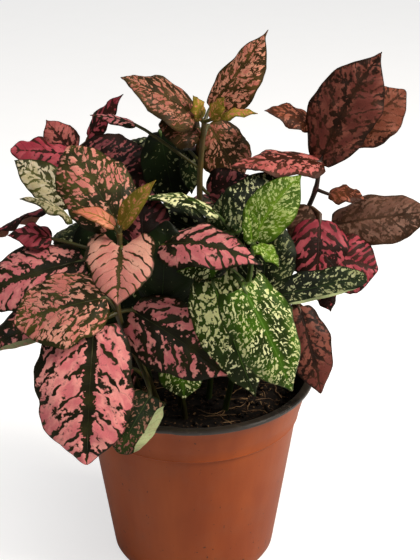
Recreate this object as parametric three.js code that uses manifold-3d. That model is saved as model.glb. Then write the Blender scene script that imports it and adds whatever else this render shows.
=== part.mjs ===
// Potted polka dot plant (Hypoestes): fourteen leafy shoots of pink, cream, green and crimson varieties,
// each shoot one solid of stem, leaf stalks and blades, standing in holes in the potting mix of a
// thermoformed nursery pot with a thickened rim band and a collar below it.
// Millimetres, +Z up, +Y away from the viewer, origin at the centre of the pot's base.
import * as THREE from "three";
import { mergeVertices } from "three/addons/utils/BufferGeometryUtils.js";
import Module from "manifold-3d";

const wasm = await Module();
wasm.setup();

const TURNS = 36;
const WALL_OUTSIDE = [
  [0, 0],
  [36.5, 0],
  [39.5, 0.8],
  [41.6, 3.5],
  [52, 77],
  [53, 79],
  [57.5, 96],
  [60, 97.5],
  [60, 100],
];
const WALL_INSIDE = [
  [55, 100],
  [51.8, 79.4],
  [50.8, 77],
  [40.4, 4.2],
  [38, 1.2],
  [0, 1.2],
];
const DRAIN_HOLES = 6;
const DRAIN_RADIUS = 4;
const DRAIN_CIRCLE = 25;

const MIX_PROFILE = [
  [0, 1.6],
  [37.8, 1.6],
  [39.9, 4.4],
  [50.4, 77.1],
  [52.3, 85],
  [45, 86.4],
  [30, 87.4],
  [15, 86.2],
  [0, 87],
];
const STEM_RADIUS = 1.6;
const STEM_FOOT = 74.3;
const STEM_STRAIGHT = 81;
const STEM_HOLE_RADIUS = 2.35;
const STEM_HOLE_FLOOR = 74;
const STEM_SIDES = 5;
const STALK_RADIUS = 1;
const STALK_SIDES = 3;

const BLADE_THICKNESS = 0.7;
const BROAD_LEAF = 30;
const SMALL_LEAF = 16;
const PLAIN_LEAF = {
  arch: 0.1,
  bend: 0,
  fold: 0,
  cup: -0.12,
  wave: 1,
  waves: 2.5,
  lobe: 0.05,
  full: 0.5,
  point: 0.95,
  skew: 0,
};

const COLOURS = {
  pink: 0xd98a88,
  cream: 0xc9cfa0,
  green: 0x6f9a3a,
  dark_green: 0x3f6a30,
  crimson: 0xa83a50,
  dark_crimson: 0x7a3a38,
  terracotta: 0xa8552f,
  mix: 0x2e2018,
};

// Each shoot: the stem's points from the mix upwards, then its leaves. "at" is the place on the stem,
// counted in stem points, where the leaf stalk leaves it; "base" and "tip" are the two ends of the
// midrib; "width" is the widest part of the blade and "face" the way its upper side looks.
const shoots = [
  {
    name: "shoot_pink_front",
    colour: "pink",
    stem: [[-16, -22, 88], [-17, -24, 95], [-26, -38, 128], [-33, -49, 155], [-31, -52, 180], [-31, -53, 194]],
    leaves: [
      {
        name: "bud_right", at: 5, base: [-30, -53, 197], tip: [-15, -53, 218],
        width: 10, face: [-0.5, -0.7, 0.5], arch: 0.06, fold: 0.4, wave: 0.3,
      },
      {
        name: "bud_left", at: 5, base: [-33, -53, 197], tip: [-51, -51, 203],
        width: 9, face: [0.1, -0.4, 0.9], arch: 0.16, fold: 0.3, wave: 0.3,
      },
      {
        name: "pointed", at: 4, base: [-30, -57, 190], tip: [-31, -80, 173],
        width: 32, face: [0, -0.5, 0.9], arch: 0.14, fold: 0.1, wave: 0.8, lobe: 0.22, full: 0.38,
      },
      {
        name: "upright", at: 4, base: [-32, -45, 195], tip: [-54, -25, 224],
        width: 32, face: [0.1, -0.8, 0.6], full: 0.45, point: 0.6,
      },
      {
        name: "left", at: 3, base: [-38, -51, 163], tip: [-77, -62, 156],
        width: 34, face: [-0.1, -0.75, 0.65], arch: 0.08, point: 0.6,
      },
      {
        name: "hanging", at: 3, base: [-43, -58, 153], tip: [-47, -79, 95],
        width: 50, face: [0, -0.9, 0.4], arch: 0.08, lobe: 0.08, full: 0.42, point: 0.65,
      },
      {
        name: "right", at: 3, base: [-27, -45, 154], tip: [16, -57, 127],
        width: 34, face: [-0.1, -0.75, 0.65], point: 0.75,
      },
      {
        name: "under", at: 2, base: [-24, -60, 119], tip: [-33, -74, 99],
        width: 24, face: [-0.1, -0.9, 0.4], arch: 0.12, full: 0.45, point: 0.6,
      },
      {
        name: "inner", at: 1.5, base: [-28, -40, 122], tip: [-50, -46, 102],
        width: 22, face: [-0.4, -0.3, 0.8], arch: 0.12,
      },
    ],
  },
  {
    name: "shoot_pink_left",
    colour: "pink",
    stem: [[-26, -6, 88], [-28, -8, 98], [-40, -18, 132], [-44, -24, 150], [-46, -17, 172]],
    leaves: [
      {
        name: "top", at: 4, base: [-48, -19, 173], tip: [-99, -30, 153],
        width: 33, face: [-0.1, -0.6, 0.8], arch: 0.08,
      },
      {
        name: "middle", at: 3, base: [-46, -31, 147], tip: [-97, -47, 134],
        width: 34, face: [0, -0.5, 0.85],
      },
      {
        name: "rear", at: 3, base: [-50, -10, 148], tip: [-82, 8, 134],
        width: 28, face: [-0.6, 0.1, 0.8], arch: 0.12,
      },
      {
        name: "lower", at: 2, base: [-44, -10, 130], tip: [-70, 6, 110],
        width: 28, face: [-0.7, 0.1, 0.6],
      },
      {
        name: "lowest", at: 1.4, base: [-40, -4, 112], tip: [-66, 20, 102],
        width: 26, face: [-0.7, 0.4, 0.6], arch: 0.12,
      },
      {
        name: "inner", at: 1.7, base: [-40, -18, 124], tip: [-64, -26, 102],
        width: 26, face: [-0.6, -0.4, 0.7], arch: 0.12,
      },
      {
        name: "crimson", at: 4, base: [-65, -13, 176], tip: [-85, -14, 178],
        width: 14, face: [0, -0.6, 0.8], arch: 0.12, wave: 1.5,
      },
    ],
  },
  {
    name: "shoot_cream_left",
    colour: "cream",
    stem: [[-22, 10, 88], [-24, 11, 98], [-38, 8, 140], [-48, 4, 170], [-54, 1, 186]],
    leaves: [
      {
        name: "upright", at: 4, base: [-56, 1, 189], tip: [-81, -4, 210],
        width: 19, face: [0, -0.75, 0.65], arch: 0.04, point: 0.7,
      },
      {
        name: "small", at: 4, base: [-56, -11, 185], tip: [-77, -24, 197],
        width: 17, face: [0.1, -0.1, 1],
      },
      {
        name: "front", at: 3, base: [-42, -2, 184], tip: [-46, -16, 152],
        width: 34, face: [-0.1, -0.95, 0.3], arch: 0.12,
      },
      {
        name: "rear", at: 3, base: [-50, 12, 168], tip: [-66, 38, 158],
        width: 28, face: [-0.4, 0.2, 0.9], arch: 0.12,
      },
      {
        name: "lower", at: 2, base: [-38, 16, 138], tip: [-64, 38, 120],
        width: 28, face: [-0.5, 0.4, 0.8], arch: 0.12,
      },
    ],
  },
  {
    name: "shoot_crimson_left",
    colour: "crimson",
    stem: [[-16, 26, 88], [-20, 28, 100], [-36, 36, 150], [-48, 41, 188], [-52, 42, 205]],
    leaves: [
      {
        name: "far_left", at: 4, base: [-58, 38, 199], tip: [-88, 30, 205],
        width: 18, face: [0, -0.6, 0.8], arch: 0.04, wave: 2.5, full: 0.4, point: 0.4,
      },
      {
        name: "notch", at: 4, base: [-57, 44, 200], tip: [-65, 52, 214],
        width: 15, face: [0, -0.9, 0.3], arch: 0.05,
      },
      {
        name: "tip", at: 4, base: [-51, 42, 208], tip: [-33, 40, 230],
        width: 13, face: [-0.7, -0.5, 0.3], arch: 0.06,
      },
      {
        name: "broad", at: 4, base: [-56, 28, 193], tip: [-18, 29, 189],
        width: 38, face: [0.05, -0.9, 0.4], arch: 0.08, point: 0.45,
      },
      {
        name: "edge_on", at: 3, base: [-68, 15, 181], tip: [-101, 3, 167],
        width: 26, face: [0.2, 0.45, 0.9], arch: 0.06, wave: 2,
      },
      {
        name: "rear", at: 3, base: [-54, 52, 186], tip: [-78, 74, 164],
        width: 30, face: [-0.5, 0.6, 0.7], arch: 0.14,
      },
      {
        name: "rear_low", at: 2, base: [-38, 48, 150], tip: [-46, 80, 126],
        width: 32, face: [-0.2, 0.8, 0.6], arch: 0.12,
      },
      {
        name: "rear_left", at: 2.5, base: [-46, 48, 172], tip: [-40, 78, 150],
        width: 30, face: [0, 0.75, 0.65], arch: 0.12,
      },
      {
        name: "lowest", at: 1.4, base: [-28, 38, 122], tip: [-50, 64, 100],
        width: 28, face: [-0.5, 0.6, 0.6], arch: 0.12,
      },
      {
        name: "side", at: 2, base: [-46, 36, 150], tip: [-72, 28, 130],
        width: 28, face: [-0.8, 0.1, 0.5], arch: 0.12,
      },
    ],
  },
  {
    name: "shoot_top_pink",
    colour: "pink",
    stem: [[2, 6, 88], [3, 7, 120], [4, 8, 170], [4, 8, 200], [6, 5, 226]],
    leaves: [
      {
        name: "bud_left", at: 4, base: [5, 4, 228], tip: [1, 0, 240],
        width: 9, face: [0.5, -0.7, 0.5], arch: 0.05,
      },
      {
        name: "bud_right", at: 4, base: [9, 0, 229], tip: [15, -3, 240],
        width: 9, face: [-0.5, -0.7, 0.5], arch: 0.05,
      },
      {
        name: "left", at: 4, base: [2, 4, 228], tip: [-30, -6, 250],
        width: 29, face: [0.2, -0.5, 0.85], arch: 0.05, full: 0.55, point: 0.9,
      },
      {
        name: "spear", at: 4, base: [9, 9, 232], tip: [35, 10, 267],
        width: 18, face: [-0.3, -0.8, 0.5], arch: 0.05, bend: 0.03, full: 0.6, point: 1, skew: 0.25,
      },
      {
        name: "bud_side", at: 4, base: [13, 0, 230], tip: [30, -6, 233],
        width: 7, face: [0, -0.4, 0.9],
      },
      {
        name: "second", at: 3.6, base: [4, 9, 222], tip: [-15, 4, 225],
        width: 22, face: [0.1, -0.7, 0.7], arch: 0.08, point: 0.6,
      },
      {
        name: "front", at: 3.6, base: [9, 14, 214], tip: [24, 20, 190],
        width: 22, face: [0.1, -0.9, 0.4], full: 0.6, point: 0.55,
      },
      {
        name: "inner", at: 2.8, base: [8, 8, 190], tip: [27, 6, 200],
        width: 18, face: [0.1, -0.8, 0.5],
      },
      {
        name: "sliver", at: 3.2, base: [-1, 15, 209], tip: [0, 10, 189],
        width: 11, face: [-0.1, -0.9, 0.3], arch: 0.06,
      },
      {
        name: "stalked", at: 3.1, base: [-26, 6, 225], tip: [-46, 0, 231],
        width: 10, face: [0, -0.2, 1], arch: 0.04, wave: 0.5,
      },
      {
        name: "rear", at: 3.5, base: [10, 20, 211], tip: [18, 50, 200],
        width: 26, face: [0, 0.7, 0.7], arch: 0.14,
      },
      {
        name: "rear_low", at: 2.6, base: [8, 16, 184], tip: [22, 46, 168],
        width: 28, face: [0.2, 0.8, 0.6], arch: 0.14,
      },
      {
        name: "lowest", at: 1.8, base: [6, 20, 150], tip: [4, 46, 133],
        width: 24, face: [0, 0.8, 0.6], arch: 0.12,
      },
    ],
  },
  {
    name: "shoot_green_back",
    colour: "dark_green",
    stem: [[-10, 30, 88], [-11, 31, 120], [-13, 32, 180], [-15, 32, 214]],
    leaves: [
      {
        name: "front", at: 3, base: [-15, 27, 215], tip: [-8, 22, 178],
        width: 24, face: [0, -0.95, 0.3], arch: 0.06, full: 0.45, point: 0.5,
      },
      {
        name: "rear", at: 2.9, base: [-18, 38, 208], tip: [-28, 64, 190],
        width: 26, face: [-0.3, 0.7, 0.7], arch: 0.14,
      },
      {
        name: "middle", at: 1.8, base: [-12, 36, 164], tip: [-10, 66, 140],
        width: 30, face: [0, 0.8, 0.6], arch: 0.14,
      },
      {
        name: "lower", at: 1.6, base: [-14, 38, 152], tip: [-16, 72, 126],
        width: 30, face: [-0.1, 0.8, 0.6], arch: 0.12,
      },
      {
        name: "lowest", at: 1, base: [-9, 38, 122], tip: [-6, 70, 96],
        width: 28, face: [0, 0.8, 0.6], arch: 0.12,
      },
    ],
  },
  {
    name: "shoot_crimson_top",
    colour: "dark_crimson",
    stem: [[26, 14, 88], [30, 14, 110], [44, 12, 150], [54, 10, 177], [59, 8, 192], [60, 5, 203]],
    leaves: [
      {
        name: "spear", at: 5, base: [60, 4, 206], tip: [87, 10, 257],
        width: 33, face: [-0.2, -0.85, 0.45], arch: 0.06, bend: -0.03, full: 0.6, point: 0.8,
      },
      {
        name: "right", at: 5, base: [73, 17, 212], tip: [102, 26, 235],
        width: 25, face: [0.1, -0.8, 0.6], arch: 0.05, point: 0.6,
      },
      {
        name: "small_left", at: 5, base: [57, 16, 222.5], tip: [34, 8, 230.5],
        width: 13, face: [0, -0.5, 0.8], arch: 0.08,
      },
      {
        name: "flat_left", at: 5, base: [60, 1, 205], tip: [18, -12, 212],
        width: 31, face: [0, -0.15, 1], arch: 0.06,
      },
      {
        name: "drooping", at: 4, base: [66, 4, 190], tip: [82, 0, 189],
        width: 14, face: [0, -0.3, 1], arch: 0.14,
      },
      {
        name: "far_right", at: 3, base: [77, 8, 175], tip: [113, -8, 184],
        width: 29, face: [0, -0.6, 0.75], arch: 0.04, full: 0.4, point: 0.6,
      },
      {
        name: "lower", at: 1.6, base: [46, 16, 134], tip: [62, 16, 112],
        width: 24, face: [0.8, 0.3, 0.5], arch: 0.12,
      },
    ],
  },
  {
    name: "shoot_crimson_right",
    colour: "crimson",
    stem: [[30, -2, 88], [34, -3, 100], [48, -8, 145], [57, -6, 172], [60, -4, 184]],
    leaves: [
      {
        name: "left", at: 4, base: [60, -7, 182], tip: [58, -22, 155],
        width: 27, face: [0.05, -0.85, 0.5], arch: 0.08,
      },
      {
        name: "right", at: 3, base: [64, -14, 164], tip: [87, -15, 159],
        width: 26, face: [0.05, -0.8, 0.55], arch: 0.08, full: 0.45, point: 0.45,
      },
      {
        name: "olive", at: 4, base: [56, 0, 186], tip: [46, -8, 170],
        width: 15, face: [-0.2, -0.8, 0.5],
      },
      {
        name: "lower", at: 2, base: [49, -22, 140], tip: [58, -38, 107],
        width: 20, face: [0.2, -0.9, 0.3], arch: 0.08,
      },
      {
        name: "small", at: 3, base: [62, -8, 146], tip: [66, -14, 135],
        width: 12, face: [0.2, -0.8, 0.4], arch: 0.08,
      },
      {
        name: "rear", at: 3, base: [66, 4, 160], tip: [90, 26, 146],
        width: 30, face: [0.6, 0.4, 0.7], arch: 0.12,
      },
      {
        name: "lowest", at: 1, base: [40, 0, 114], tip: [60, 12, 108],
        width: 24, face: [0.5, 0.3, 0.8], arch: 0.12,
      },
      {
        name: "inner", at: 1.6, base: [48, -1, 130], tip: [62, -8, 112],
        width: 22, face: [0.8, -0.2, 0.5], arch: 0.12,
      },
    ],
  },
  {
    name: "shoot_green_front",
    colour: "green",
    stem: [[16, -18, 88], [18, -20, 100], [23, -34, 140], [25, -42, 165], [27, -46, 185]],
    leaves: [
      {
        name: "bud_up", at: 4, base: [26, -47, 187], tip: [23, -50, 206],
        width: 8, face: [0.3, -0.8, 0.4], arch: 0.05, fold: 0.3,
      },
      {
        name: "bud_side", at: 4, base: [28, -48, 186], tip: [37, -60, 181],
        width: 9, face: [0.3, -0.6, 0.8], arch: 0.08, fold: 0.3,
      },
      {
        name: "upright", at: 4, base: [27, -43, 187], tip: [48, -31, 212],
        width: 21, face: [-0.1, -0.8, 0.6], arch: 0.08, bend: -0.04, point: 0.7,
      },
      {
        name: "broad", at: 3, base: [25, -66, 176], tip: [43, -70, 129],
        width: 27, face: [0.1, -0.9, 0.3], arch: 0.08, lobe: 0.2, full: 0.38, point: 0.6, skew: -0.05,
      },
      {
        name: "hanging", at: 3, base: [13, -54, 170], tip: [28, -60, 117],
        width: 28, face: [-0.1, -0.9, 0.3], arch: 0.06, lobe: 0.1, full: 0.42, point: 0.8,
      },
      {
        name: "right", at: 3, base: [42, -40, 163], tip: [77, -41, 166],
        width: 20, face: [0, -0.8, 0.6], arch: 0.06, full: 0.4, point: 0.5,
      },
      {
        name: "small", at: 3, base: [11, -46, 179], tip: [-7, -44, 172],
        width: 15, face: [0, -0.8, 0.5], arch: 0.08,
      },
      {
        name: "inner", at: 1.6, base: [26, -30, 128], tip: [42, -34, 112],
        width: 20, face: [0.5, -0.5, 0.7], arch: 0.12,
      },
    ],
  },
  {
    name: "shoot_green_mid",
    colour: "dark_green",
    stem: [[8, -6, 88], [10, -8, 110], [16, -16, 150], [18, -20, 182]],
    leaves: [
      {
        name: "upright", at: 3, base: [21, -27, 184], tip: [42, -8, 208],
        width: 30, face: [0, -0.8, 0.6], arch: 0.08,
      },
      {
        name: "band", at: 3, base: [12, -24, 191], tip: [-22, -26, 200],
        width: 14, face: [0, -0.05, 1], arch: 0.14,
      },
      {
        name: "rear_left", at: 3, base: [6, -20, 180], tip: [-20, -14, 190],
        width: 20, face: [0, -0.7, 0.7],
      },
      {
        name: "right", at: 2, base: [32, -26, 160], tip: [46, -14, 184],
        width: 26, face: [0, -0.8, 0.6], arch: 0.08,
      },
      {
        name: "inner", at: 2.8, base: [12, -16, 176], tip: [8, -4, 196],
        width: 20, face: [0, -0.8, 0.5], arch: 0.08,
      },
      {
        name: "lower", at: 1.9, base: [12, -18, 152], tip: [2, -20, 128],
        width: 24, face: [-0.1, -0.9, 0.4],
      },
      {
        name: "low_right", at: 1.5, base: [14, -12, 132], tip: [30, -16, 116],
        width: 22, face: [0.5, -0.5, 0.7], arch: 0.12,
      },
      {
        name: "upper", at: 2.6, base: [3, -9, 170], tip: [9, -12, 150],
        width: 26, face: [0, -0.9, 0.42],
      },
    ],
  },
  {
    name: "shoot_pink_centre",
    colour: "pink",
    stem: [[-6, -14, 88], [-8, -16, 110], [-17, -26, 150], [-20, -36, 182]],
    leaves: [
      {
        name: "forward", at: 3, base: [-14, -42, 184], tip: [30, -58, 181],
        width: 25, face: [0, -0.5, 0.85], arch: 0.15,
      },
      {
        name: "upright", at: 3, base: [-22, -32, 182], tip: [-22, -16, 204],
        width: 24, face: [0, -0.8, 0.6], arch: 0.08,
      },
      {
        name: "inner_left", at: 2, base: [-15, -20, 150], tip: [-20, -18, 172],
        width: 18, face: [0, -0.9, 0.4],
      },
      {
        name: "inner_low", at: 2, base: [-6, -22, 142], tip: [-12, -26, 168],
        width: 16, face: [0, -0.9, 0.4],
      },
    ],
  },
  {
    name: "shoot_green_low",
    colour: "green",
    stem: [[-4, -26, 88], [-5, -27, 100], [-6, -28, 122]],
    leaves: [
      {
        name: "pale", at: 2, base: [-6, -31, 124], tip: [-4, -44, 108],
        width: 21, face: [0, -0.7, 0.6], arch: 0.15, point: 0.6,
      },
    ],
  },
  {
    name: "shoot_pink_back",
    colour: "pink",
    stem: [[12, 26, 88], [14, 32, 110], [22, 44, 150], [24, 48, 170]],
    leaves: [
      {
        name: "right", at: 3, base: [26, 52, 172], tip: [38, 82, 154],
        width: 30, face: [0.3, 0.7, 0.7], arch: 0.14,
      },
      {
        name: "left", at: 3, base: [20, 54, 170], tip: [6, 84, 150],
        width: 28, face: [-0.2, 0.7, 0.7], arch: 0.14,
      },
      {
        name: "outer", at: 2, base: [28, 48, 150], tip: [56, 70, 128],
        width: 30, face: [0.5, 0.6, 0.6], arch: 0.14,
      },
      {
        name: "lower", at: 1.7, base: [18, 46, 138], tip: [20, 80, 108],
        width: 30, face: [0.1, 0.8, 0.6], arch: 0.12,
      },
      {
        name: "lowest", at: 1.2, base: [20, 40, 116], tip: [44, 64, 98],
        width: 26, face: [0.4, 0.7, 0.6], arch: 0.12,
      },
    ],
  },
  {
    name: "shoot_cream_back",
    colour: "cream",
    stem: [[32, 14, 88], [36, 20, 110], [46, 30, 142], [48, 33, 156]],
    leaves: [
      {
        name: "right", at: 3, base: [53, 36, 157], tip: [80, 54, 142],
        width: 30, face: [0.5, 0.5, 0.8], arch: 0.14,
      },
      {
        name: "left", at: 3, base: [46, 40, 160], tip: [34, 70, 144],
        width: 28, face: [-0.1, 0.7, 0.7], arch: 0.14,
      },
      {
        name: "lower", at: 2, base: [52, 28, 142], tip: [78, 42, 124],
        width: 30, face: [0.6, 0.4, 0.7], arch: 0.14,
      },
      {
        name: "lowest", at: 1.4, base: [42, 28, 122], tip: [56, 50, 104],
        width: 26, face: [0.5, 0.6, 0.7], arch: 0.12,
      },
    ],
  },
];

// The body of a three.js geometry, without the faces that a merged pole or end row flattens.
function solid(geometry) {
  const bare = new THREE.BufferGeometry();
  bare.setAttribute("position", geometry.getAttribute("position"));
  bare.setIndex(geometry.index);
  const merged = mergeVertices(bare, 1e-4);
  const faces = [];
  for (let i = 0; i < merged.index.count; i += 3) {
    const [a, b, c] = [0, 1, 2].map((k) => merged.index.getX(i + k));
    if (a !== b && b !== c && c !== a) faces.push(a, b, c);
  }
  return new wasm.Manifold(
    new wasm.Mesh({
      numProp: 3,
      vertProperties: merged.attributes.position.array,
      triVerts: new Uint32Array(faces),
    }),
  );
}

function meshOf(name, body, colour) {
  const data = body.getMesh();
  const geometry = new THREE.BufferGeometry();
  geometry.setAttribute("position", new THREE.BufferAttribute(data.vertProperties, 3));
  geometry.setIndex(new THREE.BufferAttribute(data.triVerts, 1));
  geometry.computeVertexNormals();
  const material = new THREE.MeshStandardMaterial({ color: colour, roughness: 0.6 });
  const mesh = new THREE.Mesh(geometry, material);
  mesh.name = name;
  return mesh;
}

function turned(profile) {
  const points = profile.map(([radius, height]) => new THREE.Vector2(radius, height));
  const geometry = new THREE.LatheGeometry(points, TURNS);
  geometry.rotateX(Math.PI / 2);
  return solid(geometry);
}

function peg(radius, low, high, x, y, sides) {
  const geometry = new THREE.CylinderGeometry(radius, radius, high - low, sides);
  geometry.rotateX(Math.PI / 2);
  geometry.translate(x, y, (low + high) / 2);
  return solid(geometry);
}

function rod(curve, radius, sides, steps) {
  const outline = new THREE.Shape();
  for (let i = 0; i < sides; i += 1) {
    const angle = (2 * Math.PI * i) / sides;
    const corner = [radius * Math.cos(angle), radius * Math.sin(angle)];
    if (i === 0) outline.moveTo(...corner);
    else outline.lineTo(...corner);
  }
  outline.closePath();
  return solid(new THREE.ExtrudeGeometry(outline, { steps, extrudePath: curve, curveSegments: 1 }));
}

// The stem stands plumb in the mix and then follows the shoot's points.
function stemCurve(points) {
  const [x, y] = points[0];
  const footing = [
    [x, y, STEM_FOOT],
    [x, y, STEM_STRAIGHT],
  ];
  return new THREE.CatmullRomCurve3(
    [...footing, ...points].map((p) => new THREE.Vector3(...p)),
  );
}

function stemPoint(curve, at) {
  return curve.getPoint((at + 2) / (curve.points.length - 1));
}

// The midrib of a leaf as a quadratic curve, with the two directions that its blade spreads in.
function leafFrame(leaf) {
  const base = new THREE.Vector3(...leaf.base);
  const tip = new THREE.Vector3(...leaf.tip);
  const length = tip.distanceTo(base);
  const along = tip.clone().sub(base).normalize();
  const face = new THREE.Vector3(...leaf.face);
  const up = face.addScaledVector(along, -face.dot(along)).normalize();
  const side = along.clone().cross(up);
  const middle = base
    .clone()
    .add(tip)
    .multiplyScalar(0.5)
    .addScaledVector(up, 2 * leaf.arch * length)
    .addScaledVector(side, 2 * leaf.bend * length);
  return { midrib: new THREE.QuadraticBezierCurve3(base, middle, tip), length, up };
}

// How much of its full width the blade has at s, from 0 at the base to 1 at the tip.
function spread(leaf, s) {
  const widest = leaf.full / (leaf.full + leaf.point);
  const law = (t) => t ** leaf.full * (1 - t) ** leaf.point;
  return law(s) / law(widest);
}

// A point of the blade: s runs along the midrib, v from -1 to 1 across, "lift" is off the mid surface.
function leafPoint(leaf, frame, s, v, lift) {
  const ahead = frame.midrib.getTangent(s);
  const normal = frame.up.clone().addScaledVector(ahead, -frame.up.dot(ahead)).normalize();
  const across = ahead.clone().cross(normal);
  const half = (leaf.width / 2) * spread(leaf, s) * (1 + leaf.skew * Math.sign(v));
  const out = Math.abs(v);
  const ripple =
    Math.sin(2 * Math.PI * leaf.waves * s + (v < 0 ? 2.1 : 0)) *
    out ** 3 *
    Math.min(1, 4 * s) *
    Math.min(1, 3 * (1 - s));
  const rise = leaf.fold * half * out + leaf.cup * half * v * v + leaf.wave * ripple;
  const lobe = leaf.lobe * frame.length * (1 - s) ** 3 * out ** 1.5;
  return frame.midrib
    .getPoint(s)
    .addScaledVector(across, v * half)
    .addScaledVector(normal, rise + lift)
    .addScaledVector(ahead, -lobe);
}

function bladeSize(leaf) {
  if (leaf.width >= BROAD_LEAF) return { rows: 6, columns: 4 };
  if (leaf.width >= SMALL_LEAF) return { rows: 6, columns: 2 };
  return { rows: 5, columns: 2 };
}

// A thin closed blade: the same grid of triangles above and below, and a strip round the edge.
function bladeSolid(leaf, frame) {
  const { rows, columns } = bladeSize(leaf);
  const positions = [];
  const faces = [];
  const stride = columns + 1;
  const layer = (rows + 1) * stride;
  for (const lift of [BLADE_THICKNESS / 2, -BLADE_THICKNESS / 2]) {
    for (let i = 0; i <= rows; i += 1) {
      const s = (i / rows) ** 1.25;
      for (let j = 0; j <= columns; j += 1) {
        const ends = i === 0 || i === rows;
        const v = ends ? 0 : (2 * j) / columns - 1;
        positions.push(...leafPoint(leaf, frame, s, v, lift));
      }
    }
  }
  const corner = (below, i, j) => (below ? layer : 0) + i * stride + j;
  const quad = (a, b, c, d) => faces.push(a, b, c, a, c, d);
  for (let i = 0; i < rows; i += 1) {
    for (let j = 0; j < columns; j += 1) {
      const [a, b, c, d] = [
        [i, j],
        [i + 1, j],
        [i + 1, j + 1],
        [i, j + 1],
      ];
      const above = [a, b, c, d].map((k) => corner(false, ...k));
      const below = [a, b, c, d].map((k) => corner(true, ...k));
      faces.push(above[0], above[2], above[1], above[0], above[3], above[2]);
      faces.push(below[0], below[1], below[2], below[0], below[2], below[3]);
    }
    quad(corner(false, i, 0), corner(false, i + 1, 0), corner(true, i + 1, 0), corner(true, i, 0));
    quad(
      corner(false, i, columns),
      corner(true, i, columns),
      corner(true, i + 1, columns),
      corner(false, i + 1, columns),
    );
  }
  const geometry = new THREE.BufferGeometry();
  geometry.setAttribute("position", new THREE.Float32BufferAttribute(positions, 3));
  geometry.setIndex(faces);
  return solid(geometry);
}

// The leaf stalk leaves the middle of the stem, passes the blade's base and ends under its midrib.
function stalkSolid(leaf, frame, stem) {
  const start = stemPoint(stem, leaf.at);
  const base = leafPoint(leaf, frame, 0, 0, -0.2);
  const end = leafPoint(leaf, frame, 0.05, 0, -0.2);
  const curve = new THREE.CatmullRomCurve3([start, base, end]);
  return rod(curve, STALK_RADIUS, STALK_SIDES, 2);
}

function shootSolid(shoot) {
  const stem = stemCurve(shoot.stem);
  const steps = shoot.stem.length + 4;
  const parts = [rod(stem, STEM_RADIUS, STEM_SIDES, steps)];
  for (const row of shoot.leaves) {
    const leaf = { ...PLAIN_LEAF, ...row };
    const frame = leafFrame(leaf);
    parts.push(bladeSolid(leaf, frame));
    parts.push(stalkSolid(leaf, frame, stem));
  }
  return wasm.Manifold.union(parts);
}

function potSolid() {
  const holes = Array.from({ length: DRAIN_HOLES }, (_, i) => {
    const angle = (2 * Math.PI * (i + 0.5)) / DRAIN_HOLES;
    const [x, y] = [DRAIN_CIRCLE * Math.cos(angle), DRAIN_CIRCLE * Math.sin(angle)];
    return peg(DRAIN_RADIUS, -1, 3, x, y, 16);
  });
  return turned([...WALL_OUTSIDE, ...WALL_INSIDE]).subtract(wasm.Manifold.union(holes));
}

function mixSolid() {
  const holes = shoots.map(({ stem: [[x, y]] }) =>
    peg(STEM_HOLE_RADIUS, STEM_HOLE_FLOOR, 95, x, y, 8),
  );
  return turned(MIX_PROFILE).subtract(wasm.Manifold.union(holes));
}

const plant = new THREE.Group();
plant.name = "potted_polka_dot_plant";
plant.add(meshOf("pot", potSolid(), COLOURS.terracotta));
plant.add(meshOf("potting_mix", mixSolid(), COLOURS.mix));
for (const shoot of shoots) {
  plant.add(meshOf(shoot.name, shootSolid(shoot), COLOURS[shoot.colour]));
}

export default plant;
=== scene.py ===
"""Dresses the potted polka dot plant: a nursery pot, its potting mix and fourteen mottled leafy shoots.

Sizes are in millimetres until a mesh is made. The frame is the pot's own: the origin is the middle of
its underside, +Z is up and -Y is the front.
"""

from __future__ import annotations

import logging
import math
import random
from dataclasses import dataclass
from enum import Enum

import bpy
import numpy as np
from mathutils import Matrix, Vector, noise


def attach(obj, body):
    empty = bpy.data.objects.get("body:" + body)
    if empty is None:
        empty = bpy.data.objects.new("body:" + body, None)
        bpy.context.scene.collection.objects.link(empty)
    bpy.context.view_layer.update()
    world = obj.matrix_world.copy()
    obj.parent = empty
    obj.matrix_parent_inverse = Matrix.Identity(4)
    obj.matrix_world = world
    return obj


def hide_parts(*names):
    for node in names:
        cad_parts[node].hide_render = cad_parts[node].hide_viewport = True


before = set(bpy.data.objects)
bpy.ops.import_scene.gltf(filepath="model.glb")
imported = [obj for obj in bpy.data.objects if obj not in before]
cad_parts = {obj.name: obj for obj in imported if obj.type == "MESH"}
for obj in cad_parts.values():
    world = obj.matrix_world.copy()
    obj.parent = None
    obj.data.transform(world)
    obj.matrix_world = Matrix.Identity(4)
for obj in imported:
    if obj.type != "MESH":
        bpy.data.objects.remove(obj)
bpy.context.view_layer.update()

LOG = logging.getLogger("polka_dot_plant")
MM = 0.001
BODY = "root"
WELD_REACH = 0.004 * MM

Point = tuple[float, float, float]
Colour = tuple[float, float, float]
Piece = bpy.types.Object
Material = bpy.types.Material
Socket = bpy.types.NodeSocket


def unit(vectors: np.ndarray) -> np.ndarray:
    """Returns the vectors, on the last axis, at length one."""
    return vectors / np.maximum(np.linalg.norm(vectors, axis=-1, keepdims=True), 1e-9)


def linear(colour: Colour) -> tuple[float, float, float, float]:
    """Turns a given colour into the linear colour that a shader takes.

    Args:
        colour: red, green and blue, each from 0 to 255, as a screen shows them.

    Returns:
        The linear red, green and blue, and an alpha of one.
    """
    parts = [c / 255 for c in colour]
    flat = [p / 12.92 if p <= 0.04045 else ((p + 0.055) / 1.055) ** 2.4 for p in parts]
    return (flat[0], flat[1], flat[2], 1.0)


# ---------------------------------------------------------------------------
# Shader graphs


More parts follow.
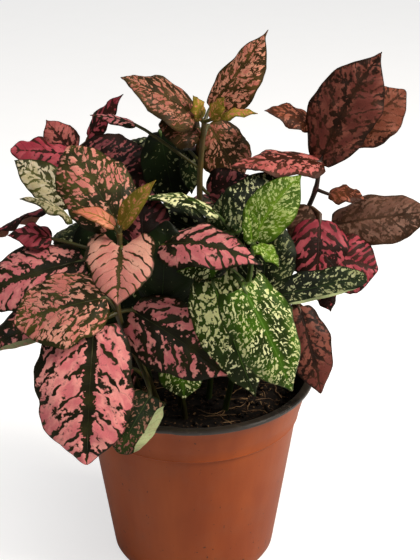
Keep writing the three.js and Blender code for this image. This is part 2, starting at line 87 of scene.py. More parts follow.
class Graph:
    """Builds one material's nodes, with a short call for each kind of node."""

    def __init__(self, name: str) -> None:
        """Starts a material that has only its output and a principled shader.

        Args:
            name: the material's name.
        """
        self.material = bpy.data.materials.new(name)
        self.material.use_nodes = True
        self.tree = self.material.node_tree
        self.shader = self.tree.nodes["Principled BSDF"]

    def node(self, kind: str, **settings: object) -> bpy.types.Node:
        """Adds a node.

        Args:
            kind: the node's Blender type.
            settings: properties to set on it.

        Returns:
            The new node.
        """
        made = self.tree.nodes.new(kind)
        for key, value in settings.items():
            setattr(made, key, value)
        return made

    def feed(self, socket: Socket, value: object) -> None:
        """Links a socket to another one, or sets a plain value on it.

        Args:
            socket: the input to feed.
            value: an output socket, or a plain value.
        """
        if isinstance(value, Socket):
            self.tree.links.new(value, socket)
        else:
            socket.default_value = value

    def maths(self, operation: str, a: object, b: object = 0.0, c: object = 0.0) -> Socket:
        """Adds a Math node on up to three numbers.

        Args:
            operation: what the node does.
            a: the first number or socket.
            b: the second one, where the operation has it.
            c: the third one, where the operation has it.

        Returns:
            The result.
        """
        made = self.node("ShaderNodeMath", operation=operation)
        for socket, value in zip(made.inputs, (a, b, c)):
            self.feed(socket, value)
        return made.outputs[0]

    def times(self, a: object, b: object) -> Socket:
        """Returns the product of two numbers."""
        return self.maths("MULTIPLY", a, b)

    def total(self, *terms: tuple[float, object]) -> Socket:
        """Sums numbers, each times its weight.

        Args:
            terms: pairs of a weight and a socket or plain number.

        Returns:
            The sum.
        """
        result: object = 0.0
        for weight, value in terms:
            result = self.maths("MULTIPLY_ADD", value, weight, result)
        return result

    def ramp(self, value: object, low: float, high: float) -> Socket:
        """Turns a value into a smooth step, from 0 below low to 1 above high.

        Args:
            value: what is compared.
            low: where the step starts.
            high: where the step ends.

        Returns:
            The step, from 0 to 1.
        """
        made = self.node("ShaderNodeMapRange", interpolation_type="SMOOTHSTEP")
        self.feed(made.inputs["Value"], value)
        made.inputs["From Min"].default_value = low
        made.inputs["From Max"].default_value = high
        return made.outputs["Result"]

    def fade(self, value: object, low: float, high: float) -> Socket:
        """Returns 1 below low and 0 above high, with a smooth step between."""
        return self.maths("SUBTRACT", 1.0, self.ramp(value, low, high))

    def mix(self, share: object, first: object, second: object, blend: str = "MIX") -> Socket:
        """Mixes two colours.

        Args:
            share: how much of the second colour shows.
            first: a linear colour or a socket.
            second: a linear colour or a socket.
            blend: the mix's blend type.

        Returns:
            The mixed colour.
        """
        made = self.node("ShaderNodeMix", data_type="RGBA", blend_type=blend)
        self.feed(made.inputs[0], share)
        self.feed(made.inputs[6], first)
        self.feed(made.inputs[7], second)
        return made.outputs[2]

    def blend(self, value: object, low: float, high: float, first: Colour, second: Colour) -> Socket:
        """Returns the first colour where the value is below low, and the second where it is above high."""
        return self.mix(self.ramp(value, low, high), linear(first), linear(second))

    def lay(self, colour: object, mask: object, share: float, top: Colour) -> Socket:
        """Lays the top colour over another one where the mask shows it, at this share or less."""
        return self.mix(self.times(mask, share), colour, linear(top))

    def dim(self, colour: object, brightness: object) -> Socket:
        """Returns the colour times a brightness."""
        return self.mix(1.0, colour, self.vector(brightness, brightness, brightness), "MULTIPLY")

    def vector(self, x: object, y: object, z: object = 0.0) -> Socket:
        """Joins three numbers into a vector.

        Args:
            x: the first number or socket.
            y: the second one.
            z: the third one.

        Returns:
            The vector.
        """
        made = self.node("ShaderNodeCombineXYZ")
        for socket, value in zip(made.inputs, (x, y, z)):
            self.feed(socket, value)
        return made.outputs[0]

    def split(self, vector: Socket) -> list[Socket]:
        """Takes a vector apart.

        Args:
            vector: the vector to take apart.

        Returns:
            Its x, y and z.
        """
        parts = self.node("ShaderNodeSeparateXYZ")
        self.feed(parts.inputs[0], vector)
        return list(parts.outputs)

    def attribute(self, name: str) -> list[Socket]:
        """Returns the three parts of a vector that the mesh carries under this name."""
        return self.split(self.node("ShaderNodeAttribute", attribute_name=name).outputs["Vector"])

    def place(self) -> Socket:
        """Returns the place on the piece, in metres."""
        return self.node("ShaderNodeTexCoord").outputs["Object"]

    def noise(self, where: object, scale: float, detail: float = 2.0, rough: float = 0.5) -> Socket:
        """Returns smooth noise about 0.5.

        Args:
            where: the vector that it is read at.
            scale: how many features lie in one unit of that vector.
            detail: how many finer layers it has.
            rough: how strong the finer layers are.

        Returns:
            The noise value.
        """
        made = self.node("ShaderNodeTexNoise")
        self.feed(made.inputs["Vector"], where)
        made.inputs["Scale"].default_value = scale
        made.inputs["Detail"].default_value = detail
        made.inputs["Roughness"].default_value = rough
        return made.outputs["Fac"]

    def bump(self, height: object, strength: float, distance: float) -> None:
        """Gives the shader a bump.

        Args:
            height: the height, where 1 is a full step.
            strength: how much of the bump shows.
            distance: the full step in metres.
        """
        made = self.node("ShaderNodeBump")
        made.inputs["Strength"].default_value = strength
        made.inputs["Distance"].default_value = distance
        self.feed(made.inputs["Height"], height)
        self.feed(self.shader.inputs["Normal"], made.outputs["Normal"])

    def finish(self, colour: object, roughness: object, **constants: float) -> Material:
        """Feeds the shader and returns the material.

        Args:
            colour: the base colour.
            roughness: the roughness.
            constants: other shader inputs, by name with underscores for spaces.

        Returns:
            The finished material.
        """
        self.feed(self.shader.inputs["Base Color"], colour)
        self.feed(self.shader.inputs["Roughness"], roughness)
        for key, value in constants.items():
            self.shader.inputs[key.replace("_", " ")].default_value = value
        return self.material


# ---------------------------------------------------------------------------
# Finishes


class Variety(Enum):
    """The leaf colourings of the plants that share the pot. DARK_GREEN is partly painted shade."""

    PINK = "pink"
    BLUSH = "blush"
    BRONZE = "bronze"
    MOTTLED = "mottled"
    GREEN_PINK = "green_pink"
    CREAM = "cream"
    GREEN = "green"
    WHITE_GREEN = "white_green"
    DARK_GREEN = "dark_green"
    CRIMSON = "crimson"
    MAROON = "maroon"
    DARK_CRIMSON = "dark_crimson"
    FLUSHED = "flushed"
    SALMON = "salmon"
    BROWN = "brown"
    YOUNG = "young"
    YOUNG_ROSE = "young_rose"
    YOUNG_GREEN = "young_green"


class Bark(Enum):
    """The stem colourings."""

    OLIVE = "olive"
    GREEN = "green"
    BROWN = "brown"
    DARK = "dark"


@dataclass(frozen=True)
class LeafFinish:
    """How one variety's blade is coloured: spots and splashes on a darker ground.

    The spots follow the side veins as blotches ("streak"), with small dots ("speckle"), slow changes
    over the blade ("patch") and, on the netted varieties, cells ("cell") set apart by a gap. "cover"
    moves the share that is spotted, and the bands keep the ground clear along the midrib, the side
    veins and the rim. Lengths are in millimetres, and the midrib's band is a share of the half width.
    """

    ground: Colour
    ground_light: Colour
    spot: Colour
    spot_deep: Colour
    midline: Colour
    under: Colour
    cover: float
    streak: float
    speckle: float
    patch: float
    size: float
    length: float
    breadth: float
    mid_band: float
    mid_weight: float
    cell: float = 0.0
    gap: float = 0.16
    vein_width: float = 1.3
    vein_weight: float = 0.5
    rim_weight: float = 0.35
    glow: float = 0.0
    line: float = 0.28
    soft: float = 0.05

    def _spots(self, graph: Graph) -> dict[str, Socket]:
        """Adds the nodes that say where the spots, veins and bands of this variety lie.

        Args:
            graph: the material being built.

        Returns:
            The masks and noises, by name.
        """
        across, along, share = graph.attribute("blade")
        phase, rim, _ = graph.attribute("veins")
        spacing, tone, seed = graph.attribute("leaf")
        edge, spots, _ = graph.attribute("growth")
        apart = graph.maths("ABSOLUTE", across)
        blade_at = graph.vector(across, along, graph.times(seed, 3.0))
        dots = graph.noise(blade_at, 1.0 / self.size, 2.0, 0.55)
        broad = graph.noise(blade_at, 0.07, 1.0, 0.5)
        fine = graph.noise(blade_at, 2.4, 2.0, 0.6)
        wander = graph.noise(blade_at, 0.25, 1.0, 0.5)
        bent = graph.total((1.0, phase), (0.7, wander))
        vein = graph.times(graph.maths("PINGPONG", bent, 0.5), spacing)
        along_vein = graph.times(across, 1.25 / self.length)
        over_vein = graph.times(graph.times(bent, spacing), 0.8 / self.breadth)
        blotch = graph.noise(graph.vector(along_vein, over_vein, seed), 1.0, 1.5, 0.5)
        swell = graph.noise(graph.vector(along_vein, over_vein, graph.maths("ADD", seed, 9.0)), 1.3, 1.0, 0.5)
        jagged = graph.total((1.0, rim), (1.7 * self.mid_band, dots), (-0.85 * self.mid_band, 1.0))
        middle = graph.fade(jagged, 0.25 * self.mid_band, 1.1 * self.mid_band)
        vein_reach = graph.maths("MULTIPLY_ADD", dots, -0.9 * self.vein_width, vein)
        on_vein = graph.fade(vein_reach, -0.45 * self.vein_width, 0.6 * self.vein_width)
        on_vein = graph.times(on_vein, graph.ramp(swell, 0.3, 0.62))
        near_rim = graph.ramp(rim, 0.82, 1.0)
        taper = graph.total((1.0, apart), (0.8 * self.line, share))
        level = graph.total(
            (self.streak, blotch),
            (self.speckle, dots),
            (self.patch, broad),
            (-self.mid_weight, middle),
            (-self.vein_weight, on_vein),
            (-self.rim_weight, near_rim),
            (1.0, spots),
        )
        level = graph.maths("ADD", level, self.cover - 0.5 * (self.streak + self.speckle + self.patch))
        if self.cell:
            net = graph.node("ShaderNodeTexVoronoi", feature="DISTANCE_TO_EDGE")
            cell_across = graph.total((1.3 / self.size, across), (2.6, swell))
            cell_along = graph.total((1.6, over_vein), (3.2, dots))
            graph.feed(net.inputs["Vector"], graph.vector(cell_across, cell_along, seed))
            net.inputs["Scale"].default_value = 0.55
            inside = graph.total((self.cell, net.outputs["Distance"]), (-self.gap * self.cell, 1.0))
            level = graph.maths("ADD", level, inside)
        return {
            "spot": graph.ramp(level, -self.soft, self.soft),
            "level": level,
            "broad": broad,
            "fine": fine,
            "swell": swell,
            "near_mid": graph.fade(rim, 0.02, 0.22),
            "midline": graph.fade(taper, 0.4 * self.line, 1.2 * self.line),
            "thin_vein": graph.fade(vein, 0.05, 0.3),
            "rim": graph.fade(edge, 0.3, 0.85),
            "tone": tone,
        }

    def upper(self, name: str) -> Material:
        """Makes the material of the blade's upper side.

        Args:
            name: the material's name.

        Returns:
            The material.
        """
        graph = Graph(name)
        mask = self._spots(graph)
        ground = graph.blend(mask["broad"], 0.38, 0.66, self.ground, self.ground_light)
        if self.glow:
            ground = graph.lay(ground, mask["near_mid"], self.glow, self.ground_light)
        patchy = graph.total((0.6, mask["broad"]), (0.4, mask["swell"]))
        spot = graph.blend(patchy, 0.4, 0.6, self.spot, self.spot_deep)
        edge_tone = graph.mix(0.35, spot, linear(self.ground_light))
        spot = graph.mix(graph.ramp(mask["level"], 0.0, 0.22), edge_tone, spot)
        veined = graph.lay(spot, mask["thin_vein"], 0.3, self.ground_light)
        colour = graph.mix(mask["spot"], ground, veined)
        colour = graph.lay(colour, mask["midline"], 0.65, self.midline)
        colour = graph.lay(colour, mask["rim"], 0.75, self.ground)
        # Brightness: fine noise, plus the per-leaf tone, which is partly random and partly painted light and
        # painted shade.
        shade = graph.total((0.4, mask["fine"]), (0.22, mask["tone"]), (0.79, 1.0))
        colour = graph.dim(colour, shade)
        height = graph.total((0.8, mask["fine"]), (-1.0, mask["thin_vein"]), (-1.0, mask["midline"]))
        graph.bump(height, 0.45, 0.0003)
        rough = graph.total((0.26, mask["fine"]), (0.35, 1.0))
        return graph.finish(
            colour, rough, Subsurface_Weight=0.05, Subsurface_Scale=0.0015, Specular_IOR_Level=0.12
        )

    def lower(self, name: str) -> Material:
        """Makes the material of the underside, paler and with the spots showing through faintly.

        Args:
            name: the material's name.

        Returns:
            The material.
        """
        graph = Graph(name)
        mask = self._spots(graph)
        through = graph.mix(0.45, linear(self.under), linear(self.spot_deep))
        base = graph.blend(mask["broad"], 0.35, 0.65, self.under, self.ground_light)
        base = graph.mix(0.75, base, linear(self.under))
        colour = graph.mix(graph.times(mask["spot"], 0.8), base, through)
        pale = graph.maths("MAXIMUM", mask["thin_vein"], mask["midline"])
        colour = graph.lay(colour, pale, 0.35, self.midline)
        # Brightness: fine noise, plus a little of the per-leaf tone, which is partly painted light and
        # painted shade.
        shade = graph.total((0.5, mask["fine"]), (0.1, mask["tone"]), (0.8, 1.0))
        colour = graph.dim(colour, shade)
        height = graph.total((0.6, mask["fine"]), (1.0, mask["thin_vein"]))
        graph.bump(height, 0.4, 0.0002)
        return graph.finish(colour, 0.62, Specular_IOR_Level=0.25)


LEAF_FINISHES: dict[Variety, LeafFinish] = {
    Variety.PINK: LeafFinish(
        (26, 24, 9), (46, 44, 18), (238, 156, 148), (214, 116, 120), (56, 60, 28), (146, 150, 106),
        cover=0.42, streak=1.9, speckle=1.6, patch=1.2, size=2.0, length=6.0, breadth=3.6,
        mid_band=0.16, mid_weight=1.2, vein_width=1.5, vein_weight=1.15, rim_weight=0.4, soft=0.07,
    ),
    Variety.BLUSH: LeafFinish(
        (46, 38, 14), (84, 70, 32), (236, 172, 150), (224, 140, 128), (70, 74, 28), (150, 128, 96),
        cover=0.72, streak=1.6, speckle=1.4, patch=0.8, size=1.6, length=6.0, breadth=3.0,
        mid_band=0.12, mid_weight=1.3, vein_width=0.9, vein_weight=1.1, rim_weight=0.7, soft=0.1,
    ),
    Variety.MOTTLED: LeafFinish(
        (40, 38, 12), (76, 72, 28), (232, 164, 142), (214, 126, 114), (72, 78, 28), (128, 118, 84),
        cover=0.14, streak=1.4, speckle=1.2, patch=0.7, cell=2.8, size=2.3, length=5.0, breadth=2.6,
        mid_band=0.07, mid_weight=0.45, vein_weight=0.3, soft=0.1,
    ),
    Variety.BRONZE: LeafFinish(
        (52, 38, 14), (94, 72, 34), (206, 142, 116), (186, 108, 92), (84, 72, 30), (132, 112, 76),
        cover=0.12, streak=1.6, speckle=1.0, patch=0.9, cell=2.8, size=1.8, length=4.6, breadth=2.0,
        mid_band=0.1, mid_weight=0.8, vein_weight=0.3, rim_weight=0.9, soft=0.14,
    ),
    Variety.GREEN_PINK: LeafFinish(
        (26, 38, 14), (48, 62, 24), (178, 132, 104), (156, 96, 88), (84, 100, 50), (176, 184, 132),
        cover=-0.18, streak=1.0, speckle=2.2, patch=0.8, cell=1.5, size=1.4, length=3.0, breadth=1.8,
        mid_band=0.12, mid_weight=0.6,
    ),
    Variety.CREAM: LeafFinish(
        (46, 48, 20), (90, 92, 46), (214, 202, 174), (192, 180, 140), (92, 96, 56), (150, 158, 120),
        cover=0.2, streak=1.4, speckle=1.6, patch=0.9, cell=1.8, size=1.7, length=3.6, breadth=2.6,
        mid_band=0.08, mid_weight=0.6, vein_width=1.0, vein_weight=0.9,
    ),
    Variety.GREEN: LeafFinish(
        (32, 48, 5), (62, 98, 12), (226, 228, 172), (200, 204, 140), (92, 134, 44), (140, 158, 100),
        cover=0.2, streak=1.3, speckle=1.6, patch=0.6, cell=3.4, gap=0.24, size=1.5, length=3.0, breadth=1.6,
        mid_band=0.1, mid_weight=0.7, vein_width=0.9, vein_weight=0.3, rim_weight=0.3, glow=0.9, line=0.55,
    ),
    Variety.WHITE_GREEN: LeafFinish(
        (24, 34, 5), (44, 66, 12), (226, 224, 174), (200, 202, 142), (84, 124, 40), (140, 158, 100),
        cover=-0.08, streak=1.9, speckle=1.9, patch=1.3, cell=1.6, gap=0.2, size=1.9, length=3.6, breadth=2.2,
        mid_band=0.1, mid_weight=0.8, vein_width=0.9, vein_weight=0.4, rim_weight=0.1, line=0.5,
    ),
    # A darkened copy of the green colourings: partly a dark green leaf, and partly painted shade for the
    # inner and rear leaves.
    Variety.DARK_GREEN: LeafFinish(
        (14, 20, 7), (28, 42, 14), (172, 174, 132), (136, 140, 96), (50, 70, 30), (170, 180, 128),
        cover=0.02, streak=1.3, speckle=1.7, patch=0.9, cell=2.4, gap=0.24, size=1.6, length=3.6, breadth=1.8,
        mid_band=0.12, mid_weight=0.6, vein_weight=0.3,
    ),
    Variety.CRIMSON: LeafFinish(
        (32, 13, 6), (60, 26, 18), (170, 76, 84), (134, 42, 54), (62, 30, 20), (136, 96, 76),
        cover=0.26, streak=1.9, speckle=1.7, patch=1.2, size=2.0, length=6.0, breadth=3.2,
        mid_band=0.1, mid_weight=0.9, vein_width=1.9, vein_weight=1.1,
    ),
    Variety.MAROON: LeafFinish(
        (20, 9, 5), (38, 18, 12), (152, 82, 82), (112, 50, 56), (40, 24, 18), (100, 78, 64),
        cover=-0.02, streak=2.4, speckle=1.4, patch=1.0, size=1.7, length=8.0, breadth=2.6,
        mid_band=0.12, mid_weight=0.9,
    ),
    Variety.DARK_CRIMSON: LeafFinish(
        (38, 20, 10), (60, 34, 20), (132, 76, 62), (104, 52, 44), (36, 20, 10), (112, 84, 62),
        cover=0.1, streak=1.8, speckle=1.8, patch=0.9, size=1.8, length=5.0, breadth=2.6,
        mid_band=0.12, mid_weight=0.8, soft=0.16,
    ),
    Variety.FLUSHED: LeafFinish(
        (58, 28, 16), (92, 52, 34), (204, 116, 108), (178, 88, 84), (64, 34, 20), (122, 84, 62),
        cover=0.22, streak=1.8, speckle=1.6, patch=0.9, size=1.7, length=4.0, breadth=2.2,
        mid_band=0.12, mid_weight=0.9, rim_weight=0.6, soft=0.1,
    ),
    Variety.SALMON: LeafFinish(
        (62, 30, 14), (92, 50, 26), (164, 98, 76), (140, 76, 56), (64, 34, 18), (140, 100, 72),
        cover=0.24, streak=1.6, speckle=1.8, patch=0.9, size=1.4, length=4.0, breadth=2.2,
        mid_band=0.08, mid_weight=0.7, vein_weight=0.6, soft=0.12,
    ),
    Variety.BROWN: LeafFinish(
        (58, 38, 24), (82, 56, 40), (134, 98, 82), (110, 76, 62), (44, 28, 18), (118, 96, 74),
        cover=0.06, streak=1.8, speckle=1.8, patch=0.9, size=1.4, length=4.5, breadth=2.4,
        mid_band=0.08, mid_weight=0.7, soft=0.16,
    ),
    Variety.YOUNG: LeafFinish(
        (104, 92, 26), (150, 134, 44), (204, 142, 98), (190, 116, 84), (158, 146, 66), (150, 142, 70),
        cover=-0.06, streak=1.6, speckle=1.8, patch=1.2, size=1.0, length=3.0, breadth=1.6,
        mid_band=0.1, mid_weight=0.6, vein_width=0.7, soft=0.2,
    ),
    Variety.YOUNG_ROSE: LeafFinish(
        (112, 70, 34), (146, 112, 50), (222, 148, 112), (200, 116, 92), (136, 116, 50), (158, 132, 84),
        cover=0.5, streak=1.6, speckle=1.4, patch=1.0, size=1.0, length=3.0, breadth=1.6,
        mid_band=0.14, mid_weight=0.8, vein_width=0.6, vein_weight=0.8, soft=0.2,
    ),
    Variety.YOUNG_GREEN: LeafFinish(
        (62, 92, 8), (104, 138, 26), (190, 202, 132), (166, 184, 104), (132, 170, 60), (140, 168, 84),
        cover=0.24, streak=1.2, speckle=1.6, patch=0.6, cell=2.6, gap=0.22, size=1.2, length=3.2, breadth=1.3,
        mid_band=0.1, mid_weight=0.6, vein_width=0.7, glow=0.8, line=0.4, soft=0.09,
    ),
}


@dataclass(frozen=True)
class BarkFinish:
    """A stem's skin: its two tones, and the flush that it has at the leaf stalks."""

    tone: Colour
    shade: Colour
    flush: Colour

    def build(self, name: str) -> Material:
        """Makes the stem material: streaked, flushed at the leaf joints, and dimmed near the mix as painted
        shade.

        Args:
            name: the material's name.

        Returns:
            The material.
        """
        graph = Graph(name)
        height, turn, node = graph.attribute("stem")
        where = graph.vector(graph.times(height, 0.12), graph.times(turn, 3.0), 0.0)
        streaks = graph.noise(where, 1.0, 3.0, 0.6)
        grain = graph.noise(graph.place(), 900.0, 2.0, 0.6)
        colour = graph.blend(streaks, 0.35, 0.65, self.tone, self.shade)
        colour = graph.lay(colour, node, 0.7, self.flush)
        # Painted shade: the colour is dimmed to 40 % at 88 mm and below, rising to full brightness at 135 mm.
        # The leaf stalks share this material.
        _, _, above = graph.split(graph.place())
        painted_shade_low = graph.maths("MULTIPLY_ADD", graph.ramp(above, 0.088, 0.135), 0.6, 0.4)
        colour = graph.dim(colour, painted_shade_low)
        height = graph.total((1.0, streaks), (0.6, grain))
        graph.bump(height, 0.4, 0.0002)
        rough = graph.maths("MULTIPLY_ADD", grain, 0.2, 0.38)
        return graph.finish(colour, rough, Subsurface_Weight=0.06, Subsurface_Scale=0.002)


BARK_FINISHES: dict[Bark, BarkFinish] = {
    Bark.OLIVE: BarkFinish((78, 78, 22), (58, 50, 18), (98, 76, 36)),
    Bark.GREEN: BarkFinish((72, 96, 24), (50, 70, 18), (104, 128, 48)),
    Bark.BROWN: BarkFinish((86, 56, 30), (62, 40, 24), (108, 60, 46)),
    Bark.DARK: BarkFinish((62, 44, 34), (42, 32, 26), (98, 50, 46)),
}


# ---------------------------------------------------------------------------
# Mesh helpers


def deselect() -> None:
    """Leaves nothing selected, so that an operator acts on new pieces only."""
    bpy.ops.object.select_all(action="DESELECT")


def active(piece: Piece) -> None:
    """Makes this the only selected object and the active one.

    Args:
        piece: the object to select.
    """
    deselect()
    piece.select_set(True)
    bpy.context.view_layer.objects.active = piece


def vectors(items: bpy.types.bpy_prop_collection, key: str) -> np.ndarray:
    """Reads one vector of each of a mesh's items.

    Args:
        items: the mesh's vertices, faces or attribute values.
        key: which of their vectors to read.

    Returns:
        The vectors.
    """
    flat = np.zeros(len(items) * 3)
    items.foreach_get(key, flat)
    return flat.reshape(-1, 3)


def turns_at(column: np.ndarray, sides: int) -> np.ndarray:
    """Returns the angle of each column around a piece whose last column meets its first."""
    return 2 * math.pi * (column % sides) / sides


def tile(name: str, rows: int, columns: int) -> tuple[Piece, np.ndarray, np.ndarray]:
    """Adds a flat grid to be moulded into a piece.

    Args:
        name: the piece's name.
        rows: how many faces it has from its start to its end.
        columns: how many faces it has across.

    Returns:
        The object, and each vertex's row and column as whole numbers.
    """
    deselect()
    bpy.ops.mesh.primitive_grid_add(x_subdivisions=columns, y_subdivisions=rows, size=1.0)
    piece = bpy.context.active_object
    piece.name = name
    flat = vectors(piece.data.vertices, "co")
    row = np.rint((flat[:, 1] + 0.5) * rows).astype(int)
    column = np.rint((flat[:, 0] + 0.5) * columns).astype(int)
    return piece, row, column


def mould(piece: Piece, places: np.ndarray) -> None:
    """Moves a piece's vertices to these places, in millimetres."""
    piece.data.vertices.foreach_set("co", (places * MM).astype(np.float32).ravel())
    piece.data.update()


def carry(piece: Piece, name: str, values: np.ndarray) -> None:
    """Stores a vector on every vertex, for the piece's material to read."""
    layer = piece.data.attributes.new(name, "FLOAT_VECTOR", "POINT")
    layer.data.foreach_set("vector", values.astype(np.float32).ravel())


def weld(piece: Piece, outward: bool = True) -> None:
    """Joins vertices that share a place, which closes seams and poles.

    Args:
        piece: the piece to weld.
        outward: whether it is a closed body whose faces are then turned outwards.
    """
    active(piece)
    bpy.ops.object.mode_set(mode="EDIT")
    bpy.ops.mesh.select_all(action="SELECT")
    bpy.ops.mesh.remove_doubles(threshold=WELD_REACH)
    if outward:
        bpy.ops.mesh.normals_make_consistent(inside=False)
    bpy.ops.object.mode_set(mode="OBJECT")


def smooth(piece: Piece, angle: float = 40.0) -> None:
    """Shades a piece smoothly, with edges sharper than the angle in degrees kept crisp."""
    active(piece)
    bpy.ops.object.shade_smooth_by_angle(angle=math.radians(angle))


def dress(piece: Piece, *materials: Material) -> None:
    """Gives a piece its materials, in the order of their slots.

    Args:
        piece: the piece to dress.
        materials: its materials.
    """
    piece.data.materials.clear()
    for material in materials:
        piece.data.materials.append(material)


def join(pieces: list[Piece]) -> Piece:
    """Joins pieces into the first one.

    Args:
        pieces: the pieces to join.

    Returns:
        The joined piece.
    """
    deselect()
    for piece in pieces:
        piece.select_set(True)
    bpy.context.view_layer.objects.active = pieces[0]
    bpy.ops.object.join()
    return pieces[0]


def settle(piece: Piece, node: str) -> None:
    """Fixes a finished piece to the pot's body.

    Args:
        piece: the finished piece.
        node: the solid that it stands for.
    """
    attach(piece, BODY)
    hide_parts(node)
    LOG.info("%s: %d faces, for %s", piece.name, len(piece.data.polygons), node)


def tube(
    name: str, centres: np.ndarray, radii: np.ndarray, sides: int, towards: np.ndarray, square: float = 0.0
) -> Piece:
    """Makes a closed tube with rounded ends along a path.

    Args:
        name: the piece's name.
        centres: the path, one point a row.
        radii: the tube's radius at each point.
        sides: how many faces it has around.
        towards: a direction that the first side faces, off the path's own direction.
        square: how far its section leans from round to square.

    Returns:
        The tube, carrying the "stem" vector: height along it, turn around it, and zero.
    """
    along = unit(np.gradient(centres, axis=0))
    across = unit(np.cross(along, towards))
    upward = np.cross(across, along)
    caps = len(centres)
    piece, row, column = tile(name, caps + 1, sides)
    index = np.clip(row - 1, 0, caps - 1)
    end = np.where(row == 0, -1.0, 0.0) + np.where(row == caps + 1, 1.0, 0.0)
    turn = turns_at(column, sides)
    radius = radii[index] * (1 + square * np.cos(4 * turn)) * (end == 0)
    places = centres[index] + across[index] * (radius * np.cos(turn))[:, None]
    places += upward[index] * (radius * np.sin(turn))[:, None]
    places += along[index] * (0.5 * end * radii[index])[:, None]
    mould(piece, places)
    lengths = np.concatenate([[0.0], np.cumsum(np.linalg.norm(np.diff(centres, axis=0), axis=1))])
    turned = np.abs(((column / sides) % 1.0) * 2 - 1)
    carry(piece, "stem", np.stack([lengths[index], turned, np.zeros(len(index))], axis=1))
    weld(piece)
    return piece


@dataclass(frozen=True)
class Curve:
    """A smooth path through points, the closer ones taken more tightly."""

    points: np.ndarray

    def at(self, share: float) -> np.ndarray:
        """Returns the place at a share of the path, each stretch between two points counting the same.

        Args:
            share: from 0 at the first point to 1 at the last.

        Returns:
            The place in millimetres.
        """
        last = len(self.points) - 1
        spot = min(max(share, 0.0), 1.0) * last
        step = min(int(spot), last - 1)
        weight = spot - step
        p1 = self.points[step]
        p2 = self.points[step + 1]
        p0 = self.points[step - 1] if step > 0 else 2 * p1 - p2
        p3 = self.points[step + 2] if step < last - 1 else 2 * p2 - p1
        pairs = ((p0, p1), (p1, p2), (p2, p3))
        d0, d1, d2 = (max(float(((b - a) ** 2).sum()) ** 0.25, 1e-4) for a, b in pairs)
        t1 = ((p1 - p0) / d0 - (p2 - p0) / (d0 + d1) + (p2 - p1) / d1) * d1
        t2 = ((p2 - p1) / d1 - (p3 - p1) / (d1 + d2) + (p3 - p2) / d2) * d1
        cubic = 2 * p1 - 2 * p2 + t1 + t2
        square = -3 * p1 + 3 * p2 - 2 * t1 - t2
        return ((cubic * weight + square) * weight + t1) * weight + p1

    def many(self, count: int) -> np.ndarray:
        """Returns this many places, evenly shared along the path."""
        return np.array([self.at(i / (count - 1)) for i in range(count)])


# ---------------------------------------------------------------------------
# Leaves and shoots


class Slot(Enum):
    """The material slots of the foliage."""

    PINK = "pink_foliage"
    CREAM = "cream_foliage"
    GREEN = "green_foliage"
    CRIMSON = "crimson_foliage"


class Palette:
    """The plant's materials, each made once."""

    def __init__(self) -> None:
        """Builds the materials of every variety and of every bark."""
        self.upper = {v: f.upper(f"leaf_{v.value}") for v, f in LEAF_FINISHES.items()}
        self.lower = {v: f.lower(f"leaf_{v.value}_under") for v, f in LEAF_FINISHES.items()}
        self.bark = {b: f.build(f"stem_{b.value}") for b, f in BARK_FINISHES.items()}


# How uneven a blade's width is: each wave's depth as a share of the half width, its count along the
# blade, and how many times it takes the leaf's own phase. One side of a blade is ahead by SIDE_PHASE.
UNEVEN = ((0.045, 1.3, 1), (0.03, 2.9, 2), (0.014, 6.5, 1))
SIDE_PHASE = 2.1

# The blade's section and ends: the waves along its rim, how it domes as a share of the half width, where
# across it the rim starts to curl down, and the share of its length that is drawn out to the tip.
RIM_WAVES = 2.5
CUP = -0.12
CURL_START = 0.6
DRIP_REACH = 0.13

# A rolled rim: where across the half width it starts, and its radius in millimetres.
ROLL_START = 0.55
ROLL_RADIUS = 1.1

# The side veins: how many fit along a blade, the least distance between them in millimetres, and how
# they slope and bend on their way to the rim.
VEINS = 6.5
VEIN_GAP = 3.0
VEIN_SLOPE = 0.75
VEIN_BEND = 0.012

# How finely a blade is cut, along it and across each half: faces a millimetre, the fewest and the most.
ROW_CUT = (0.85, 16, 48)
COLUMN_CUT = (0.3, 4, 13)

# The relief in millimetres of a blade that is RELIEF_WIDTH wide, and its thickness.
RELIEF_WIDTH = 36
QUILT = 0.75
GROOVE = 0.45
RIPPLE = 0.22
CRINKLE = 0.55
CRINKLE_SIZE = 5.5
THICKNESS = 0.5

# The midrib under a blade: the shares of the way to the tip where it starts and ends, how far below the
# blade the stalk runs at the blade's base and where the midrib starts, and the radii of the stalk and of
# the midrib in millimetres, each from its start to its end, on a leaf of middling width.
RIB_START, RIB_END = 0.08, 0.93
STALK_DROP = (0.2, 1.0)
STALK_RADII = (1.1, 0.74)
RIB_RADII = (0.66, 0.16)

# The heights inside the mix that every stem starts from; the stem's radius at its foot and how much
# thinner its tip is, how far its section leans to square, and how it swells at its joints.
BURIED = (74.3, 81.0)
STEM_RADIUS = 1.75
STEM_TAPER = 0.75
STEM_SQUARE = 0.06
SWELLING = 0.22
SWELLING_REACH = 0.16

# What sets the pattern of a shoot, and of a leaf on it, off from the others.
SHOOT_SEED = 7.31
LEAF_SEED = 1.87


def cut_into(length: float, cut: tuple[float, int, int]) -> int:
    """Returns how many faces a length is cut into, from a row such as ROW_CUT."""
    return int(min(max(length * cut[0], cut[1]), cut[2]))


def side_phase(v: np.ndarray) -> np.ndarray:
    """Returns the phase of each side of a blade, so that its sides aren't mirror images."""
    return np.where(v < 0, SIDE_PHASE, 0.0)


